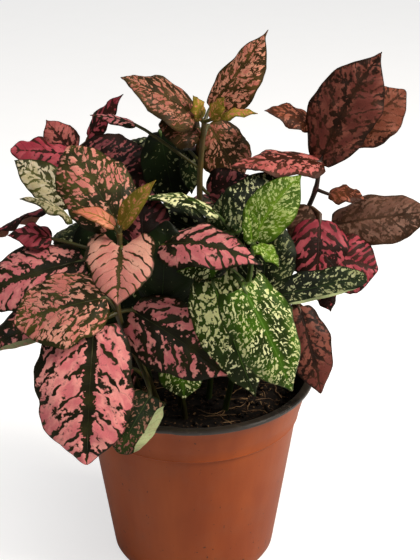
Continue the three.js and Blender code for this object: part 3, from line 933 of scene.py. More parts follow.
@dataclass(frozen=True)
class Leaf:
    """One leaf: where it grows, where its blade starts and ends, and how the blade is shaped."""

    name: str
    at: float
    base: Point
    tip: Point
    width: float
    face: Point
    variety: Variety
    arch: float = 0.12
    bend: float = 0.0
    fold: float = 0.0
    wave: float = 1.0
    lobe: float = 0.05
    full: float = 0.5
    point: float = 0.95
    skew: float = 0.0
    curl: float = 0.1
    drip: float = 0.5
    roll: float = 0.0
    # tone brightens or darkens the whole blade: painted light and painted shade for leaves that sit lit or in
    # shade.
    tone: float = 0.0
    spots: float = 0.0

    @property
    def length(self) -> float:
        """Returns the distance from the blade's base to its tip."""
        return float(np.linalg.norm(np.subtract(self.tip, self.base)))

    def axes(self, s: np.ndarray) -> tuple[np.ndarray, np.ndarray, np.ndarray, np.ndarray]:
        """Finds the midrib and the directions that go with it.

        Args:
            s: shares of the way from base to tip.

        Returns:
            The midrib's places, and the directions along, across and out of the blade there.
        """
        base = np.array(self.base, float)
        tip = np.array(self.tip, float)
        chord = unit(tip - base)
        normal = np.array(self.face, float)
        normal = unit(normal - chord * normal.dot(chord))
        side = np.cross(chord, normal)
        pull = (base + tip) / 2 + (normal * self.arch + side * self.bend) * (2 * self.length)
        t = s[:, None]
        places = base * (1 - t) ** 2 + pull * (2 * t * (1 - t)) + tip * t**2
        along = unit((pull - base) * (1 - t) + (tip - pull) * t)
        out = unit(normal - along * (along @ normal)[:, None])
        return places, along, np.cross(along, out), out

    def half(self, s: np.ndarray, v: np.ndarray) -> np.ndarray:
        """Finds the blade's half width, which differs a little between its two sides.

        Args:
            s: shares of the way from base to tip.
            v: places across, whose sign says which side is meant.

        Returns:
            The half width in millimetres.
        """
        widest = self.full / (self.full + self.point)
        peak = widest**self.full * (1 - widest) ** self.point
        outline = np.maximum(s, 0) ** self.full * np.maximum(1 - s, 0) ** self.point / peak
        quirk = 1.7 * self.length + 0.9 * self.width + side_phase(v)
        uneven = sum(deep * np.sin(2 * math.pi * waves * s + k * quirk) for deep, waves, k in UNEVEN)
        drawn = 1 - self.drip * np.exp(-(((1 - s) / DRIP_REACH) ** 2))
        return self.width / 2 * outline * drawn * (1 + self.skew * np.sign(v)) * (1 + uneven)

    def surface(self, s: np.ndarray, v: np.ndarray, lift: np.ndarray) -> np.ndarray:
        """Finds points of the blade.

        Args:
            s: shares of the way from base to tip.
            v: places across, from -1 at one rim to 1 at the other.
            lift: how far each point is raised off the plain blade.

        Returns:
            The points in millimetres.
        """
        places, along, across, out = self.axes(s)
        half = self.half(s, v)
        reach = np.abs(v)
        rise = self.fold * half * reach + CUP * half * v**2
        rise = rise - self.curl * half * (np.maximum(reach - CURL_START, 0) / (1 - CURL_START)) ** 2
        ends = np.minimum(1, 4 * s) * np.minimum(1, 3 * (1 - s))
        rise = rise + self.wave * np.sin(2 * math.pi * RIM_WAVES * s + side_phase(v)) * reach**3 * ends
        back = self.lobe * self.length * (1 - s) ** 3 * reach**1.5 * np.minimum(1, s / 0.04)
        wide = v * half
        if self.roll:
            side = np.sign(self.roll)
            strip = np.maximum(v * side - ROLL_START, 0) * half
            most = 2 * math.pi * abs(self.roll) * np.minimum(1, 6 * s * (1 - s))
            turn = np.minimum(most, strip / ROLL_RADIUS)
            flat = strip - ROLL_RADIUS * turn
            wide = wide + side * (ROLL_RADIUS * np.sin(turn) + flat * np.cos(turn) - strip)
            rise = rise + ROLL_RADIUS * (1 - np.cos(turn)) + flat * np.sin(turn)
        return places + across * wide[:, None] + out * (rise + lift)[:, None] - along * back[:, None]

    def _blade(self, name: str, seed: float) -> Piece:
        """Makes the blade: quilted between its side veins, grooved at its midrib and rippled at its rim.

        Args:
            name: the piece's name.
            seed: what sets this leaf's pattern off from the others.

        Returns:
            The blade, with its underside on the second material slot.
        """
        rows = cut_into(self.length, ROW_CUT)
        columns = 2 * cut_into(self.width, COLUMN_CUT)
        piece, row, column = tile(name, rows, columns)
        s = (1 - np.cos(math.pi * row / rows)) / 2
        v = column / columns * 2 - 1
        v = np.sign(v) * np.abs(v) ** 0.9
        half = self.half(s, v)
        x = v * half
        y = s * self.length
        spacing = max(self.length / VEINS, VEIN_GAP)
        phase = (y - VEIN_SLOPE * np.abs(x) - VEIN_BEND * x**2) / spacing
        inward = np.minimum(1, np.abs(x) / 3) * (1 - np.abs(v) ** 4)
        scale = min(self.width / RELIEF_WIDTH, 1.1)
        quilt = QUILT * scale * np.sin(math.pi * phase) ** 2 * inward
        groove = -GROOVE * scale * np.exp(-((x / 0.9) ** 2)) * np.minimum(1, 8 * (1 - s))
        ripple = RIPPLE * scale * np.sin(2 * math.pi * (phase + 0.13 * seed)) * np.abs(v) ** 5
        uneven = [noise.noise(Vector((a / CRINKLE_SIZE, b / CRINKLE_SIZE, seed))) for a, b in zip(x, y)]
        crinkle = np.array(uneven) * CRINKLE * scale * np.minimum(1, 6 * s)
        mould(piece, self.surface(s, v, quilt + groove + ripple + crinkle))
        # The listed tone, which is painted light and shade, plus a small random part for each leaf.
        tone = self.tone + 0.3 * math.sin(seed * 12.9898)
        carry(piece, "blade", np.stack([x, y, s], axis=1))
        carry(piece, "veins", np.stack([phase, np.abs(v), np.zeros(len(x))], axis=1))
        carry(piece, "leaf", np.tile([spacing, tone, seed], (len(x), 1)))
        carry(piece, "growth", np.stack([half * (1 - np.abs(v)), np.full(len(x), self.spots), s], axis=1))
        weld(piece, outward=False)
        return piece

    def _thicken(self, piece: Piece) -> None:
        """Gives the blade its thickness, with the upper side's finish on the rim.

        Args:
            piece: the blade.
        """
        active(piece)
        skin = piece.modifiers.new("skin", "SOLIDIFY")
        skin.thickness = THICKNESS * MM
        skin.offset = 0.0
        skin.material_offset = 1
        skin.material_offset_rim = 0
        bpy.ops.object.modifier_apply(modifier=skin.name)

    def _rib(self, name: str, foot: np.ndarray) -> Piece:
        """Makes the stalk and the midrib that runs on under the blade.

        Args:
            name: the piece's name.
            foot: the place on the stem that the stalk leaves from.

        Returns:
            The tube.
        """
        size = 0.72 + 0.38 * min(self.width / 40, 1.1)
        near = self.surface(np.array([0.0, RIB_START]), np.zeros(2), -np.array(STALK_DROP))
        stalk = Curve(np.array([foot, *near])).many(9)
        s = np.linspace(RIB_START, RIB_END, 14)[1:]
        thin = np.linspace(*RIB_RADII, len(s)) * size
        centres = np.concatenate([stalk, self.surface(s, np.zeros(len(s)), -THICKNESS - 0.7 * thin)])
        radii = np.concatenate([np.linspace(*STALK_RADII, len(stalk)) * size, thin])
        return tube(name, centres, radii, 8, np.array(unit(np.array(self.face, float))))

    def build(self, shoot: str, seed: float, foot: np.ndarray, palette: Palette, bark: Bark) -> Piece:
        """Makes the whole leaf.

        Args:
            shoot: the name of the shoot it grows on.
            seed: what sets this leaf's pattern off from the others.
            foot: the place on the stem that its stalk leaves from.
            palette: the plant's materials.
            bark: the stem's colouring, which the stalk shares.

        Returns:
            The leaf as one piece.
        """
        name = f"{shoot}_{self.name}"
        blade = self._blade(name, seed)
        dress(blade, palette.upper[self.variety], palette.lower[self.variety])
        self._thicken(blade)
        smooth(blade, 60)
        rib = self._rib(f"{name}_rib", foot)
        dress(rib, palette.bark[bark])
        smooth(rib, 60)
        return join([blade, rib])


@dataclass(frozen=True)
class Shoot:
    """One stem, from the mix to its tip, with its leaves."""

    name: str
    slot: Slot
    bark: Bark
    path: list[Point]
    leaves: list[Leaf]

    @property
    def node(self) -> str:
        """Returns the name of the solid that this shoot stands for."""
        return f"shoot_{self.name}"

    @property
    def curve(self) -> Curve:
        """Returns the stem's path, which starts inside the mix."""
        x, y, _ = self.path[0]
        return Curve(np.array([(x, y, z) for z in BURIED] + self.path, float))

    @property
    def spans(self) -> int:
        """Returns how many stretches the stem's path has."""
        return len(BURIED) + len(self.path) - 1

    def joint(self, leaf: Leaf) -> float:
        """Returns the share of the stem's path at which a leaf's stalk leaves it."""
        return (len(BURIED) + leaf.at) / self.spans

    def _stem(self) -> Piece:
        """Makes the stem: slightly square, thinner upwards and swollen where leaves join it.

        Returns:
            The stem as one piece, which carries how near each point is to a leaf joint.
        """
        count = self.spans * 9 + 1
        share = np.linspace(0, 1, count)
        centres = self.curve.many(count)
        joints = np.array([self.joint(leaf) for leaf in self.leaves if leaf.at > 0])
        reach = np.abs(share[:, None] - joints[None, :]).min(axis=1) * self.spans
        swelling = np.exp(-((reach / SWELLING_REACH) ** 2))
        radii = (STEM_RADIUS - STEM_TAPER * share) * (1 + SWELLING * swelling)
        piece = tube(f"{self.name}_stem", centres, radii, 12, np.array([0.05, -1.0, 0.02]), STEM_SQUARE)
        layer = piece.data.attributes["stem"]
        values = vectors(layer.data, "vector")
        places = vectors(piece.data.vertices, "co") / MM
        nearest = np.linalg.norm(places[:, None, :] - centres[None, :, :], axis=2).argmin(axis=1)
        values[:, 2] = swelling[nearest]
        layer.data.foreach_set("vector", values.astype(np.float32).ravel())
        smooth(piece, 50)
        return piece

    def build(self, palette: Palette, number: int) -> None:
        """Makes the stem and its leaves and fixes them to the pot.

        Args:
            palette: the plant's materials.
            number: this shoot's place in the plant, which sets its patterns off from the others.
        """
        stem = self._stem()
        dress(stem, palette.bark[self.bark])
        settle(stem, self.node)
        for place, leaf in enumerate(self.leaves):
            seed = number * SHOOT_SEED + place * LEAF_SEED
            foot = self.curve.at(self.joint(leaf))
            piece = leaf.build(self.name, seed, foot, palette, self.bark)
            settle(piece, self.node)


SHOOTS: list[Shoot] = [
    Shoot("pink_front", Slot.PINK, Bark.OLIVE,
        [(-16, -22, 88), (-17, -24, 95), (-26, -38, 128), (-33, -49, 155), (-31, -52, 180),
         (-31, -53, 194)], [
        Leaf("bud_right", 5, (-30, -53, 197), (-15, -53, 218), 10, (-0.5, -0.7, 0.5), Variety.YOUNG,
            arch=0.06, fold=0.4, wave=0.3),
        Leaf("bud_left", 5, (-33, -53, 197), (-51, -51, 203), 9, (0.1, -0.4, 0.9), Variety.YOUNG_ROSE,
            arch=0.16, fold=0.3, wave=0.3),
        Leaf("pointed", 4, (-30, -57, 189.5), (-31, -80, 172.5), 30, (0, -0.5, 0.9), Variety.BLUSH, arch=0.14,
            fold=0.12, wave=0.8, lobe=0.6, full=0.36, point=0.8, tone=-1.3, spots=-0.15),
        Leaf("upright", 4, (-32, -45, 195), (-54, -25, 224), 32, (0.1, -0.8, 0.6), Variety.MOTTLED, arch=0.1,
            full=0.45, point=0.6, drip=0.2, tone=-0.8, spots=-0.1),
        Leaf("left", 3, (-38, -51, 163), (-77, -62, 156), 34, (-0.1, -0.75, 0.65), Variety.MOTTLED, arch=0.08,
            point=0.6, drip=0.2, tone=0.1, spots=0.05),
        Leaf("hanging", 3, (-43, -58, 153), (-47, -79, 95), 44, (0, -0.9, 0.4), Variety.PINK, arch=0.08,
            lobe=0.08, full=0.4, point=0.52, skew=0.14, tone=-0.1, spots=-0.12),
        Leaf("right", 3, (-27, -45, 154), (16, -57, 127), 34, (-0.1, -0.75, 0.65), Variety.PINK, arch=0.1,
            point=0.75, tone=-0.9, spots=-0.3),
        Leaf("under", 2, (-19, -60, 119), (-33, -76, 99), 32, (-0.1, -0.9, 0.4), Variety.GREEN_PINK,
            full=0.36, point=0.42, roll=-0.4, tone=-0.7, spots=0.15),
        Leaf("inner", 1.5, (-28, -40, 122), (-50, -46, 102), 22, (-0.4, -0.3, 0.8), Variety.PINK),
    ]),
    Shoot("pink_left", Slot.PINK, Bark.OLIVE,
        [(-26, -6, 88), (-28, -8, 98), (-40, -18, 132), (-44, -24, 150), (-46, -17, 172)], [
        Leaf("top", 4, (-50, -20, 168), (-101, -30, 152), 34, (-0.1, -0.6, 0.8), Variety.PINK, arch=0.08,
            point=0.65, tone=-0.5, spots=-0.25),
        Leaf("middle", 3, (-46, -31, 147), (-97, -47, 134), 34, (0, -0.5, 0.85), Variety.PINK, arch=0.1,
            roll=-0.33, tone=-0.8, spots=-0.45),
        Leaf("rear", 3, (-50, -10, 148), (-82, 8, 134), 28, (-0.6, 0.1, 0.8), Variety.PINK),
        Leaf("lower", 2, (-44, -10, 130), (-70, 6, 110), 28, (-0.7, 0.1, 0.6), Variety.PINK, arch=0.1),
        Leaf("lowest", 1.4, (-40, -4, 112), (-66, 20, 102), 26, (-0.7, 0.4, 0.6), Variety.PINK),
        Leaf("inner", 1.7, (-40, -18, 124), (-64, -26, 102), 26, (-0.6, -0.4, 0.7), Variety.PINK),
        Leaf("crimson", 4, (-65, -13, 176), (-85, -14, 178), 14, (0, -0.6, 0.8), Variety.CRIMSON, wave=1.5,
            tone=0.8, spots=0.3),
    ]),
    Shoot("cream_left", Slot.CREAM, Bark.GREEN,
        [(-22, 10, 88), (-24, 11, 98), (-38, 8, 140), (-48, 4, 170), (-54, 1, 186)], [
        Leaf("upright", 4, (-56, 1, 189), (-81, -4, 211), 18, (0, -0.75, 0.65), Variety.CREAM, arch=0.04,
            point=0.7, tone=-1),
        Leaf("small", 4, (-56, -11, 185), (-77, -23, 199), 17, (0.1, -0.1, 1), Variety.CREAM, arch=0.1,
            tone=-0.3),
        Leaf("front", 3, (-42, -2, 184), (-36, -22, 126), 38, (-0.1, -0.95, 0.3), Variety.DARK_GREEN,
            arch=0.06, point=0.5, spots=-0.4),
        Leaf("rear", 3, (-50, 12, 168), (-66, 38, 158), 28, (-0.4, 0.2, 0.9), Variety.DARK_GREEN),
        Leaf("lower", 2, (-38, 16, 138), (-64, 38, 120), 28, (-0.5, 0.4, 0.8), Variety.CREAM),
    ]),
    Shoot("crimson_left", Slot.CRIMSON, Bark.BROWN,
        [(-16, 26, 88), (-20, 28, 100), (-36, 36, 150), (-48, 41, 188), (-52, 42, 205)], [
        Leaf("far_left", 4, (-60, 38, 200), (-88, 30, 205), 17, (0, -0.6, 0.8), Variety.CRIMSON, arch=0.04,
            wave=2.5, full=0.4, point=0.4, tone=0.3, spots=0.4),
        Leaf("notch", 4, (-60, 42, 200), (-72, 48, 215), 17, (0.1, -0.9, 0.3), Variety.FLUSHED, arch=0.05,
            full=0.45, point=0.8, wave=1.6, tone=-1.4, spots=0.1, drip=0.7),
        Leaf("tip", 4, (-51, 42, 208), (-33, 40, 230), 13, (-0.7, -0.5, 0.3), Variety.CRIMSON, arch=0.06),
        Leaf("broad", 4, (-58, 29, 196), (-18, 29, 190), 39, (0.05, -0.9, 0.4), Variety.MAROON, arch=0.08,
            full=0.42, point=0.42, spots=0.05, drip=0.2, tone=-0.1),
        Leaf("edge_on", 3, (-68, 15, 181), (-101, 3, 167), 26, (0.2, 0.45, 0.9), Variety.CRIMSON, arch=0.06,
            wave=2, tone=0.5),
        Leaf("rear", 3, (-54, 52, 186), (-78, 74, 164), 30, (-0.5, 0.6, 0.7), Variety.MAROON, arch=0.14),
        Leaf("rear_low", 2, (-38, 48, 150), (-46, 80, 126), 32, (-0.2, 0.8, 0.6), Variety.MAROON),
        Leaf("rear_left", 2.5, (-46, 48, 172), (-40, 78, 150), 30, (0, 0.75, 0.65), Variety.CRIMSON),
        Leaf("lowest", 1.4, (-28, 38, 122), (-50, 64, 100), 28, (-0.5, 0.6, 0.6), Variety.CRIMSON),
        Leaf("side", 2, (-46, 36, 150), (-72, 28, 130), 28, (-0.8, 0.1, 0.5), Variety.MAROON),
    ]),
    Shoot("top_pink", Slot.PINK, Bark.OLIVE,
        [(2, 6, 88), (3, 7, 120), (4, 8, 170), (4, 8, 200), (6, 5, 226)], [
        Leaf("bud_left", 4, (5, 4, 228), (1, 0, 240), 9, (0.5, -0.7, 0.5), Variety.YOUNG, arch=0.05),
        Leaf("bud_right", 4, (9, 0, 229), (15, -3, 240), 9, (-0.5, -0.7, 0.5), Variety.YOUNG, arch=0.05),
        Leaf("left", 4, (2, 4, 230), (-31, -6, 250), 28, (0.2, -0.5, 0.85), Variety.BRONZE, arch=0.05,
            point=1, tone=-1.8, drip=0.3),
        Leaf("spear", 4, (9, 9, 232), (35, 10, 267.5), 20, (-0.3, -0.8, 0.5), Variety.BRONZE, arch=0.05,
            bend=0.03, full=0.6, skew=0.25, drip=0.85, tone=0.7, spots=0.1),
        Leaf("bud_side", 4, (13, 0, 230), (30, -6, 233), 7, (0, -0.4, 0.9), Variety.YOUNG, arch=0.1),
        Leaf("second", 3.6, (4, 9, 222), (-15, 4, 225), 22, (0.1, -0.7, 0.7), Variety.BRONZE, arch=0.08,
            point=0.6, tone=-1, spots=-0.2),
        Leaf("front", 3.6, (8, 14, 222), (24, 20, 192), 25, (0.1, -0.9, 0.4), Variety.BRONZE, arch=0.1,
            point=0.55, tone=-0.2),
        Leaf("inner", 2.8, (8, 8, 190), (27, 6, 200), 18, (0.1, -0.8, 0.5), Variety.MAROON, arch=0.1,
            tone=-0.3),
        Leaf("sliver", 3.2, (-1, 15, 209), (0, 10, 189), 11, (-0.1, -0.9, 0.3), Variety.DARK_GREEN,
            arch=0.06),
        Leaf("stalked", 3.1, (-26, 6, 225), (-46, 0, 231), 10, (0, -0.2, 1), Variety.PINK, arch=0.04,
            wave=0.5),
        Leaf("rear", 3.5, (9, 20, 209), (13, 50, 194), 25, (0, 0.7, 0.7), Variety.MAROON),
        Leaf("rear_low", 2.6, (8, 16, 184), (22, 46, 168), 28, (0.2, 0.8, 0.6), Variety.PINK, arch=0.14),
        Leaf("lowest", 1.8, (6, 20, 150), (4, 46, 133), 24, (0, 0.8, 0.6), Variety.MAROON),
    ]),
    Shoot("green_back", Slot.GREEN, Bark.GREEN,
        [(-10, 30, 88), (-11, 31, 120), (-13, 32, 180), (-15, 32, 214)], [
        Leaf("front", 3, (-15, 27, 215), (-8, 22, 178), 24, (0, -0.95, 0.3), Variety.DARK_GREEN, arch=0.06,
            full=0.45, point=0.5, tone=-0.6, spots=-0.3),
        Leaf("rear", 2.9, (-18, 38, 208), (-28, 64, 190), 26, (-0.3, 0.7, 0.7), Variety.DARK_GREEN,
            arch=0.14),
        Leaf("middle", 1.8, (-12, 36, 164), (-10, 66, 140), 30, (0, 0.8, 0.6), Variety.DARK_GREEN, arch=0.14),
        Leaf("lower", 1.6, (-14, 38, 152), (-16, 72, 126), 30, (-0.1, 0.8, 0.6), Variety.DARK_GREEN),
        Leaf("lowest", 1, (-9, 38, 122), (-6, 70, 96), 28, (0, 0.8, 0.6), Variety.DARK_GREEN),
    ]),
    Shoot("crimson_top", Slot.CRIMSON, Bark.DARK,
        [(26, 14, 88), (30, 14, 110), (44, 12, 150), (54, 10, 177), (59, 8, 192), (60, 5, 203)], [
        Leaf("spear", 5, (60, 4, 206), (87, 10, 257), 32, (-0.2, -0.85, 0.45), Variety.DARK_CRIMSON,
            arch=0.06, bend=-0.03, full=0.72, point=0.85, drip=0.6),
        Leaf("right", 5, (73, 17, 213), (102, 26, 235), 25, (0.1, -0.8, 0.6), Variety.SALMON, arch=0.05,
            point=0.55, full=0.55, wave=1.6, tone=-1.3),
        Leaf("small_left", 5, (57, 16, 222.5), (34, 8, 230.5), 16, (0, -0.5, 0.8), Variety.SALMON, arch=0.08,
            tone=-0.8, spots=-0.2, wave=1.4),
        Leaf("flat_left", 5, (60, 1, 208), (18, -12, 210), 27, (0, -0.15, 1), Variety.FLUSHED, arch=0.06,
            wave=1.4, drip=0.3, tone=-0.9, spots=-0.1),
        Leaf("drooping", 4, (65, 4, 191), (82, 0, 189), 14, (0, -0.3, 1), Variety.SALMON, arch=0.16,
            tone=-0.8, spots=-0.2),
        Leaf("far_right", 2.4, (67, 5, 174.5), (113, -8, 186), 28, (0, -0.6, 0.75), Variety.BROWN, arch=0.04,
            full=0.4, point=0.6),
        Leaf("lower", 1.6, (46, 16, 134), (62, 16, 112), 24, (0.8, 0.3, 0.5), Variety.DARK_CRIMSON),
    ]),
    Shoot("crimson_right", Slot.CRIMSON, Bark.BROWN,
        [(30, -2, 88), (34, -3, 100), (48, -8, 145), (57, -6, 172), (60, -4, 184)], [
        Leaf("left", 4, (60, -7, 182), (57, -23, 151), 28, (0.05, -0.85, 0.5), Variety.CRIMSON, arch=0.08),
        Leaf("right", 3, (64, -14, 166), (87, -15, 160), 28, (0.05, -0.8, 0.55), Variety.CRIMSON, arch=0.08,
            full=0.42, point=0.45, tone=0.4, spots=0.1),
        Leaf("olive", 4, (56, 0, 186), (46, -8, 170), 15, (-0.2, -0.8, 0.5), Variety.BROWN, arch=0.1),
        Leaf("lower", 2, (50, -22, 144), (60, -38, 107), 21, (0.2, -0.9, 0.3), Variety.DARK_CRIMSON,
            arch=0.08, full=0.42, point=0.6, tone=-0.6, spots=0.1),
        Leaf("small", 3, (62, -8, 149), (66, -14, 138), 11, (0.2, -0.8, 0.4), Variety.CRIMSON, arch=0.08),
        Leaf("rear", 3, (66, 4, 160), (90, 26, 146), 30, (0.6, 0.4, 0.7), Variety.CRIMSON),
        Leaf("lowest", 1, (40, 0, 114), (60, 12, 108), 24, (0.5, 0.3, 0.8), Variety.CRIMSON),
        Leaf("inner", 1.6, (48, -1, 130), (62, -8, 112), 22, (0.8, -0.2, 0.5), Variety.CRIMSON),
    ]),
    Shoot("green_front", Slot.GREEN, Bark.GREEN,
        [(16, -18, 88), (18, -20, 100), (23, -34, 140), (25, -42, 165), (27, -46, 185)], [
        Leaf("bud_up", 4, (26, -47, 187), (23, -50, 206), 8, (0.3, -0.8, 0.4), Variety.YOUNG_GREEN, arch=0.05,
            fold=0.3),
        Leaf("bud_side", 4, (28, -48, 186), (37, -60, 181), 9, (0.3, -0.6, 0.8), Variety.YOUNG_GREEN,
            arch=0.08, fold=0.3),
        Leaf("upright", 4, (27, -43, 187), (48, -31, 212), 21, (-0.1, -0.8, 0.6), Variety.YOUNG_GREEN,
            arch=0.08, bend=-0.04, point=0.7, tone=-0.5),
        Leaf("broad", 3, (21.5, -70, 176), (43, -74, 128.5), 29, (0.15, -0.8, 0.45), Variety.GREEN, arch=0.08,
            lobe=0.1, full=0.27, point=0.52, drip=0.7, curl=0.25, tone=-0.1),
        Leaf("hanging", 3, (9, -52, 171), (28, -58, 117), 30, (-0.15, -0.85, 0.4), Variety.WHITE_GREEN,
            arch=0.06, lobe=0.1, full=0.42, point=0.75, drip=0.7, tone=0.9, spots=0.05),
        Leaf("right", 3, (37, -41, 158.5), (78, -41, 167.5), 17, (0, -0.8, 0.6), Variety.DARK_GREEN,
            arch=0.03, full=0.32, point=0.42, roll=0.36, spots=0.1, drip=0.2),
        Leaf("small", 3, (11, -46, 179), (-7, -44, 172), 15, (0, -0.8, 0.5), Variety.GREEN, arch=0.08),
        Leaf("inner", 1.6, (26, -30, 128), (42, -34, 112), 20, (0.5, -0.5, 0.7), Variety.GREEN),
    ]),
    Shoot("green_mid", Slot.GREEN, Bark.GREEN,
        [(8, -6, 88), (10, -8, 110), (16, -16, 150), (18, -20, 182)], [
        Leaf("upright", 3, (21, -27, 184), (42, -8, 208), 30, (0, -0.8, 0.6), Variety.DARK_GREEN, arch=0.08,
            tone=1, spots=0.15),
        Leaf("band", 3, (12, -24, 191), (-24, -26, 199), 15, (0, -0.05, 1), Variety.WHITE_GREEN, arch=0.14,
            tone=0.3, spots=0.2),
        Leaf("rear_left", 3, (6, -20, 180), (-20, -14, 190), 20, (0, -0.7, 0.7), Variety.DARK_GREEN,
            arch=0.1),
        Leaf("right", 2, (32, -27, 154), (36.5, -15, 188), 27, (0, -0.8, 0.6), Variety.DARK_GREEN, arch=0.06,
            point=0.6),
        Leaf("inner", 2.8, (17, -16, 166), (14, -10, 197), 24, (0, -0.9, 0.4), Variety.DARK_GREEN, arch=0.08),
        Leaf("lower", 1.9, (12, -18, 152), (2, -20, 128), 24, (-0.1, -0.9, 0.4), Variety.DARK_GREEN,
            arch=0.1),
        Leaf("low_right", 1.5, (14, -12, 132), (30, -16, 116), 22, (0.5, -0.5, 0.7), Variety.DARK_GREEN),
        Leaf("upper", 2.6, (3, -9, 170), (4, -13, 147), 30, (0, -0.9, 0.42), Variety.DARK_GREEN, arch=0.1),
    ]),
    Shoot("pink_centre", Slot.PINK, Bark.OLIVE,
        [(-6, -14, 88), (-8, -16, 110), (-17, -26, 150), (-20, -36, 182)], [
        Leaf("forward", 3, (-14, -42, 184), (30, -58, 181), 25, (0, -0.5, 0.85), Variety.PINK, arch=0.15,
            tone=-1.4, spots=-0.2, drip=0.3),
        Leaf("upright", 3, (-22, -32, 182), (-22, -16, 204), 24, (0, -0.8, 0.6), Variety.MAROON, arch=0.08),
        Leaf("inner_left", 2, (-14, -34, 148), (-11, -41, 195), 27, (0, -0.9, 0.3), Variety.DARK_GREEN,
            arch=0.1, full=0.55, point=0.5, spots=-0.6),
        Leaf("inner_low", 2, (-4, -22, 142), (-5, -26, 171), 24, (0, -0.9, 0.4), Variety.DARK_GREEN,
            arch=0.1),
    ]),
    Shoot("green_low", Slot.GREEN, Bark.OLIVE,
        [(-4, -26, 88), (-5, -27, 100), (-6, -28, 122)], [
        Leaf("pale", 2, (-6, -31, 124), (-4, -44, 108), 21, (0, -0.7, 0.6), Variety.GREEN, arch=0.15,
            point=0.6),
    ]),
    Shoot("pink_back", Slot.PINK, Bark.OLIVE,
        [(12, 26, 88), (14, 32, 110), (22, 44, 150), (24, 48, 170)], [
        Leaf("right", 3, (26, 52, 172), (38, 82, 154), 30, (0.3, 0.7, 0.7), Variety.PINK, arch=0.14),
        Leaf("left", 3, (20, 54, 170), (6, 84, 150), 28, (-0.2, 0.7, 0.7), Variety.PINK, arch=0.14),
        Leaf("outer", 2, (28, 48, 150), (56, 70, 128), 30, (0.5, 0.6, 0.6), Variety.PINK, arch=0.14),
        Leaf("lower", 1.7, (18, 46, 138), (20, 80, 108), 30, (0.1, 0.8, 0.6), Variety.PINK),
        Leaf("lowest", 1.2, (20, 40, 116), (44, 64, 98), 26, (0.4, 0.7, 0.6), Variety.PINK),
    ]),
    Shoot("cream_back", Slot.CREAM, Bark.GREEN,
        [(32, 14, 88), (36, 20, 110), (46, 30, 142), (48, 33, 156)], [
        Leaf("right", 3, (53, 36, 157), (80, 54, 142), 30, (0.5, 0.5, 0.8), Variety.CREAM, arch=0.14),
        Leaf("left", 3, (46, 40, 160), (34, 70, 144), 28, (-0.1, 0.7, 0.7), Variety.CREAM, arch=0.14),
        Leaf("lower", 2, (52, 28, 142), (78, 42, 124), 30, (0.6, 0.4, 0.7), Variety.DARK_GREEN, arch=0.14),
        Leaf("lowest", 1.4, (42, 28, 122), (56, 50, 104), 26, (0.5, 0.6, 0.7), Variety.DARK_GREEN),
    ]),
]


# ---------------------------------------------------------------------------
# Pot and potting mix


@dataclass(frozen=True)
class PotFinish:
    """The two layers of the pot's sheet: clay-coloured outside and black inside."""

    clay: Colour = (167, 79, 29)
    clay_dark: Colour = (146, 64, 21)
    black: Colour = (34, 31, 27)
    soil: Colour = (64, 40, 26)
    dust: Colour = (120, 104, 88)

    def outside(self) -> Material:
        """Makes the outer layer: satin plastic with faint draw lines and a little dust.

        Returns:
            The material.
        """
        graph = Graph("pot_clay")
        place = graph.place()
        _, _, above = graph.split(place)
        stretched = graph.node("ShaderNodeMapping")
        graph.feed(stretched.inputs["Vector"], place)
        stretched.inputs["Scale"].default_value = (1.0, 1.0, 0.12)
        drawn = graph.noise(stretched.outputs[0], 70.0, 3.0, 0.6)
        cloud = graph.noise(place, 22.0, 3.0, 0.55)
        grain = graph.noise(place, 1500.0, 2.0, 0.7)
        specks = graph.noise(place, 420.0, 2.0, 0.6)
        tone = graph.total((0.55, drawn), (0.45, cloud))
        colour = graph.blend(tone, 0.32, 0.68, self.clay, self.clay_dark)
        low = graph.fade(above, 0.0, 0.07)
        dirt = graph.ramp(graph.maths("MULTIPLY_ADD", low, 0.05, specks), 0.7, 0.77)
        colour = graph.lay(colour, dirt, 0.8, self.soil)
        film = graph.ramp(graph.noise(place, 55.0, 4.0, 0.6), 0.5, 0.75)
        colour = graph.lay(colour, film, 0.08, self.dust)
        height = graph.total((0.5, grain), (0.8, drawn))
        graph.bump(height, 0.25, 0.0003)
        rough = graph.maths("MULTIPLY_ADD", cloud, 0.2, 0.26)
        return graph.finish(colour, rough, Specular_IOR_Level=0.26)

    def inside(self) -> Material:
        """Makes the inner layer: black plastic, dusted with dry mix.

        Returns:
            The material.
        """
        graph = Graph("pot_black")
        place = graph.place()
        cloud = graph.noise(place, 40.0, 4.0, 0.6)
        grain = graph.noise(place, 1300.0, 2.0, 0.7)
        dirt = graph.ramp(graph.noise(place, 300.0, 3.0, 0.7), 0.52, 0.7)
        colour = graph.blend(cloud, 0.35, 0.7, self.black, (48, 41, 34))
        colour = graph.lay(colour, dirt, 0.22, self.dust)
        graph.bump(grain, 0.2, 0.0002)
        rough = graph.maths("MULTIPLY_ADD", cloud, 0.24, 0.18)
        return graph.finish(colour, rough)


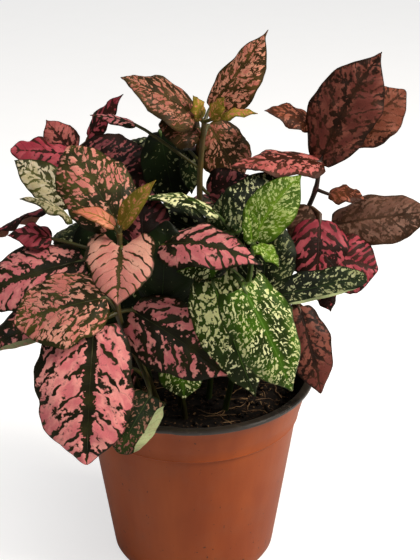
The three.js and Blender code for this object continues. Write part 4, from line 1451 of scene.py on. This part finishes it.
@dataclass(frozen=True)
class Pot:
    """The thermoformed pot: a tapering cup with a stepped collar, a rolled lip and drain holes."""

    outer: tuple[tuple[float, float], ...] = (
        (0.0, 0.0), (36.5, 0.0), (38.4, 0.25), (39.5, 0.8), (40.7, 1.9), (41.6, 3.5), (42.4, 9.0),
        (45.4, 30.0), (48.4, 51.0), (51.2, 71.0), (52.0, 77.0), (52.15, 78.2), (53.05, 78.65),
        (53.3, 79.05), (53.15, 79.6), (54.6, 85.0), (56.3, 91.6), (57.3, 95.6), (57.9, 96.7),
        (59.2, 97.3), (60.0, 97.8),
    )
    lip: tuple[tuple[float, float], ...] = ((60.25, 98.4), (60.3, 99.2), (59.9, 99.85), (59.2, 100.0))
    inner: tuple[tuple[float, float], ...] = (
        (57.4, 100.0), (56.4, 99.7), (55.9, 98.9), (54.9, 95.0), (53.4, 87.0), (51.8, 79.4), (50.8, 77.0),
        (49.9, 71.0), (47.2, 51.0), (44.2, 30.0), (41.2, 9.0), (40.4, 4.2), (39.4, 2.2), (38.0, 1.2),
        (0.0, 1.2),
    )
    cut: float = 7.0
    turns: int = 144
    collar: float = 78.0
    kink: float = 0.9
    kink_turn: float = 259.0
    kink_reach: float = 0.05
    black_from: float = 97.0
    holes: int = 6
    hole_radius: float = 4.0
    hole_ring: float = 25.0
    hole_depth: float = 8.0

    def _profile(self) -> np.ndarray:
        """Closes the wall's profile and cuts it finely along its long sides.

        Returns:
            The profile, each row a radius and a height in millimetres.
        """
        points = [np.array(self.outer[0])]
        for a, b in zip(self.outer, self.outer[1:]):
            steps = max(1, round(math.dist(a, b) / self.cut))
            points += [np.array(a) + (np.array(b) - np.array(a)) * k / steps for k in range(1, steps + 1)]
        points += [np.array(p) for p in self.lip + self.inner]
        return np.array(points)

    def _wall(self, finish: PotFinish) -> Piece:
        """Makes the wall, with a slightly uneven lip and one soft kink at its front.

        Args:
            finish: the pot's two layers.

        Returns:
            The wall, still without its drain holes.
        """
        profile = self._profile()
        piece, row, column = tile("nursery_pot", len(profile) - 1, self.turns)
        turn = turns_at(column, self.turns)
        radius, height = profile[row].T
        upper = np.clip((height - self.collar) / (self.inner[0][1] - self.collar), 0, 1)
        wobble = 0.25 * np.sin(3 * turn + 0.4) + 0.18 * np.sin(5 * turn + 2.0)
        kink = -self.kink * np.exp(-(((turn - math.radians(self.kink_turn)) / self.kink_reach) ** 2))
        radius = radius + upper * (wobble + kink) * (radius > 1)
        height = height + 0.12 * np.sin(4 * turn + 1.0) * upper
        mould(piece, np.stack([radius * np.cos(turn), radius * np.sin(turn), height], axis=1))
        weld(piece)
        dress(piece, finish.outside(), finish.inside())
        middles = vectors(piece.data.polygons, "center") / MM
        normals = vectors(piece.data.polygons, "normal")
        outward = (normals[:, :2] * unit(middles[:, :2])).sum(axis=1)
        dark = (outward < -0.05) | (normals[:, 2] > 0.35) | (middles[:, 2] > self.black_from)
        piece.data.polygons.foreach_set("material_index", dark.astype(np.int32))
        return piece

    def _drill(self, wall: Piece) -> None:
        """Cuts the drain holes out of the floor.

        Args:
            wall: the pot's wall and floor.
        """
        drills = []
        for k in range(self.holes):
            angle = 2 * math.pi * (k + 0.5) / self.holes
            place = Vector((math.cos(angle), math.sin(angle), 0.0)) * self.hole_ring * MM
            deselect()
            bpy.ops.mesh.primitive_cylinder_add(
                vertices=32, radius=self.hole_radius * MM, depth=self.hole_depth * MM, location=place
            )
            bpy.ops.object.transform_apply(location=True, rotation=True, scale=True)
            drills.append(bpy.context.active_object)
        drill = join(drills)
        dress(drill, wall.data.materials[0], wall.data.materials[1])
        active(wall)
        cut = wall.modifiers.new("drain", "BOOLEAN")
        cut.operation = "DIFFERENCE"
        cut.solver = "EXACT"
        cut.object = drill
        bpy.ops.object.modifier_apply(modifier=cut.name)
        bpy.data.objects.remove(drill)

    def build(self, finish: PotFinish) -> None:
        """Makes the pot and fixes it in place.

        Args:
            finish: the pot's two layers.
        """
        wall = self._wall(finish)
        self._drill(wall)
        smooth(wall, 35)
        settle(wall, "pot")


@dataclass(frozen=True)
class MixFinish:
    """The potting mix's colours."""

    peat: Colour = (27, 20, 15)
    dark: Colour = (13, 10, 8)
    bark: Colour = (92, 66, 44)
    fibre: Colour = (168, 130, 88)

    def earth(self, name: str, light: Colour) -> Material:
        """Returns a crumbly material.

        Args:
            name: the material's name.
            light: the tone of its paler crumbs.

        Returns:
            The material.
        """
        graph = Graph(name)
        place = graph.place()
        coarse = graph.noise(place, 260.0, 3.0, 0.6)
        fine = graph.noise(place, 1400.0, 3.0, 0.7)
        colour = graph.blend(coarse, 0.35, 0.62, self.dark, self.peat)
        flecks = graph.ramp(graph.noise(place, 620.0, 1.0, 0.5), 0.6, 0.7)
        colour = graph.lay(colour, flecks, 0.7, light)
        height = graph.total((0.7, coarse), (0.6, fine))
        graph.bump(height, 0.8, 0.0006)
        return graph.finish(colour, graph.maths("MULTIPLY_ADD", fine, 0.15, 0.8), Specular_IOR_Level=0.2)

    def root(self) -> Material:
        """Makes the material of the dry root fibres.

        Returns:
            The material.
        """
        graph = Graph("mix_fibre")
        tone = graph.noise(graph.place(), 160.0, 2.0, 0.6)
        colour = graph.blend(tone, 0.35, 0.65, self.fibre, self.bark)
        graph.bump(graph.noise(graph.place(), 2400.0, 2.0, 0.6), 0.4, 0.0001)
        return graph.finish(colour, 0.75)


@dataclass(frozen=True)
class Mix:
    """The potting mix: a plug that fills the pot, with loose crumbs and root fibres on top.

    Each row of "lumps" is a layer of its uneven top: its height, the size of its lumps and its seed.
    """

    side: tuple[tuple[float, float], ...] = (
        (0.0, 1.6), (20.0, 1.6), (37.8, 1.6), (39.9, 4.4), (43.2, 28.0), (46.8, 52.0), (50.4, 77.1),
        (51.6, 82.5),
    )
    rim: tuple[float, float] = (52.0, 85.2)
    level: float = 87.0
    lumps: tuple[tuple[float, float, float], ...] = ((1.3, 9.0, 1.7), (0.9, 3.4, 5.1), (0.4, 1.6, 9.4))
    turns: int = 120
    rings: int = 44
    crumbs: int = 380
    crumb_reach: float = 50.0
    fibres: int = 46
    fibre_reach: float = 49.5
    fibre_step: float = 1.9

    def height(self, x: float, y: float) -> float:
        """Finds how high the mix's surface stands at a place, with its lumps.

        Args:
            x: the place to the right of the pot's axis, in millimetres.
            y: the place behind the axis.

        Returns:
            The height in millimetres.
        """
        away = math.hypot(x, y) / self.rim[0]
        base = self.level - 0.4 * math.sin(3 * away) - 1.6 * max(away - 0.86, 0) / 0.14
        layers = (high * noise.noise(Vector((x / wide, y / wide, seed))) for high, wide, seed in self.lumps)
        return base + sum(layers) * (1 - 0.5 * away)

    def _plug(self) -> Piece:
        """Makes the plug, smooth where the pot hides it and lumpy on top.

        Returns:
            The plug.
        """
        reach = [self.rim[0] * (1 - (k / self.rings) ** 1.15) for k in range(self.rings + 1)]
        radii = np.array([p[0] for p in self.side] + reach)
        heights = np.array([p[1] for p in self.side] + [self.rim[1]] * len(reach))
        top = len(self.side)
        piece, row, column = tile("mix_plug", len(radii) - 1, self.turns)
        turn = turns_at(column, self.turns)
        x = radii[row] * np.cos(turn)
        y = radii[row] * np.sin(turn)
        z = heights[row]
        for k in np.nonzero(row > top)[0]:
            z[k] = self.height(x[k], y[k])
        mould(piece, np.stack([x, y, z], axis=1))
        weld(piece)
        smooth(piece, 60)
        return piece

    def _crumbs(self) -> Piece:
        """Makes the loose crumbs as one piece, from many small dented balls.

        Returns:
            The crumbs.
        """
        rng = random.Random(41)
        deselect()
        bpy.ops.mesh.primitive_ico_sphere_add(subdivisions=2, radius=1.0)
        ball = bpy.context.active_object
        ball.name = "mix_crumbs"
        shape = vectors(ball.data.vertices, "co")
        faces = np.array([list(p.vertices) for p in ball.data.polygons])
        places, rings = [], []
        for k in range(self.crumbs):
            away = self.crumb_reach * math.sqrt(rng.random())
            turn = rng.random() * 2 * math.pi
            x, y = away * math.cos(turn), away * math.sin(turn)
            size = 0.5 + 1.5 * rng.random() ** 2.4
            stretch = size * np.array([rng.uniform(0.8, 1.5), rng.uniform(0.7, 1.1), rng.uniform(0.5, 0.8)])
            dent = np.array([1 + 0.55 * noise.noise(Vector(tuple(p * 1.3 + k))) for p in shape])
            spin = rng.random() * math.pi
            cos, sin = math.cos(spin), math.sin(spin)
            turned = (shape * dent[:, None] * stretch) @ np.array([[cos, sin, 0], [-sin, cos, 0], [0, 0, 1]])
            places.append(turned + np.array([x, y, self.height(x, y) + 0.25 * size]))
            rings.append(faces + k * len(shape))
        mesh = bpy.data.meshes.new("mix_crumbs")
        mesh.from_pydata((np.concatenate(places) * MM).tolist(), [], np.concatenate(rings).tolist())
        ball.data = mesh
        smooth(ball, 50)
        return ball

    def _fibres(self) -> Piece:
        """Makes the root fibres as one piece of thin bent tubes.

        Returns:
            The fibres.
        """
        rng = random.Random(7)
        pieces = []
        for k in range(self.fibres):
            away = 14 + 34 * math.sqrt(rng.random())
            turn = rng.uniform(-math.pi, 0) if k % 4 else rng.uniform(0, math.pi)
            x, y = away * math.cos(turn), away * math.sin(turn)
            heading = rng.random() * 2 * math.pi
            steps = rng.randint(6, 11)
            path = []
            for _ in range(steps):
                heading += rng.uniform(-0.5, 0.5)
                x += self.fibre_step * math.cos(heading)
                y += self.fibre_step * math.sin(heading)
                if math.hypot(x, y) > self.fibre_reach:
                    break
                path.append((x, y, self.height(x, y) + 0.5 + 0.5 * rng.random()))
            if len(path) < 4:
                continue
            centres = Curve(np.array(path)).many(len(path) * 2)
            radii = np.linspace(rng.uniform(0.2, 0.34), 0.1, len(centres))
            pieces.append(tube(f"fibre_{k}", centres, radii, 5, np.array([0.1, 0.2, 1.0])))
        made = join(pieces)
        made.name = "mix_fibres"
        smooth(made, 60)
        return made

    def build(self, finish: MixFinish) -> None:
        """Makes the mix and fixes it in the pot.

        Args:
            finish: the mix's colours.
        """
        for piece, material in (
            (self._plug(), finish.earth("mix_peat", finish.bark)),
            (self._crumbs(), finish.earth("mix_crumb", finish.fibre)),
            (self._fibres(), finish.root()),
        ):
            dress(piece, material)
            settle(piece, "potting_mix")


# ---------------------------------------------------------------------------
# Studio


@dataclass(frozen=True)
class Lamp:
    """A square soft light: its place and side in millimetres, its power in watts and its tint."""

    name: str
    place: Point
    size: float
    power: float
    tint: Colour

    def hang(self, aim: Point) -> None:
        """Hangs the light.

        Args:
            aim: the place that it faces, in millimetres.
        """
        lamp = bpy.data.lights.new(self.name, "AREA")
        lamp.shape = "SQUARE"
        lamp.size = self.size * MM
        lamp.energy = self.power
        lamp.color = linear(self.tint)[:3]
        holder = bpy.data.objects.new(self.name, lamp)
        bpy.context.scene.collection.objects.link(holder)
        holder.location = Vector(self.place) * MM
        towards = Vector(aim) * MM - holder.location
        holder.rotation_euler = towards.to_track_quat("-Z", "Y").to_euler()


@dataclass(frozen=True)
class Studio:
    """A pale floor, soft light from the upper right and from above, and the camera."""

    lamps: tuple[Lamp, ...] = (
        Lamp("key", (900, -260, 880), 420, 14.2, (255, 246, 234)),
        Lamp("top", (-60, -420, 1250), 700, 6.8, (255, 250, 244)),
    )
    aim: Point = (0.0, 0.0, 120.0)

    camera_at: Point = (0.0, -529.8, 381.7)
    pitch: float = 23.74
    yaw: float = 0.93
    lens: float = 76.95
    sensor: float = 36.0
    ambient: float = 0.2
    glow: float = 0.62
    paper: tuple[Colour, Colour] = ((214, 214, 214), (208, 208, 208))

    def _floor(self) -> None:
        """Lays a wide matt floor."""
        deselect()
        bpy.ops.mesh.primitive_plane_add(size=12.0)
        floor = bpy.context.active_object
        floor.name = "studio_floor"
        graph = Graph("studio_paper")
        grain = graph.noise(graph.place(), 30.0, 2.0, 0.5)
        colour = graph.mix(grain, linear(self.paper[0]), linear(self.paper[1]))
        seen = graph.node("ShaderNodeLightPath").outputs["Is Camera Ray"]
        graph.feed(graph.shader.inputs["Emission Color"], linear((255, 255, 255)))
        graph.feed(graph.shader.inputs["Emission Strength"], graph.times(seen, self.glow))
        dress(floor, graph.finish(colour, 0.9, Specular_IOR_Level=0.0))

    def _world(self) -> None:
        """Sets plain surroundings: white where the camera looks past the floor, dimmer as a light."""
        world = bpy.data.worlds.new("studio")
        world.use_nodes = True
        tree = world.node_tree
        background = tree.nodes["Background"]
        background.inputs["Color"].default_value = (1.0, 1.0, 1.0, 1.0)
        path = tree.nodes.new("ShaderNodeLightPath")
        level = tree.nodes.new("ShaderNodeMapRange")
        tree.links.new(path.outputs["Is Camera Ray"], level.inputs["Value"])
        level.inputs["To Min"].default_value = self.ambient
        level.inputs["To Max"].default_value = 1.0
        tree.links.new(level.outputs["Result"], background.inputs["Strength"])
        bpy.context.scene.world = world

    def build(self) -> None:
        """Sets up the floor, the lights and the camera."""
        self._floor()
        self._world()
        for lamp in self.lamps:
            lamp.hang(self.aim)
        lens = bpy.data.cameras.new("camera")
        lens.lens = self.lens
        lens.sensor_width = self.sensor
        lens.clip_end = 30.0
        camera = bpy.data.objects.new("camera", lens)
        bpy.context.scene.collection.objects.link(camera)
        camera.location = Vector(self.camera_at) * MM
        camera.rotation_euler = (math.radians(90 - self.pitch), 0.0, math.radians(-self.yaw))
        bpy.context.scene.camera = camera


def main() -> None:
    """Builds the dressed plant and its studio."""
    logging.basicConfig(level=logging.INFO, format="%(message)s")
    palette = Palette()
    Pot().build(PotFinish())
    Mix().build(MixFinish())
    for number, shoot in enumerate(SHOOTS):
        shoot.build(palette, number)
    Studio().build()
    bpy.context.scene.view_settings.view_transform = "Standard"


if __name__ == "__main__":
    main()
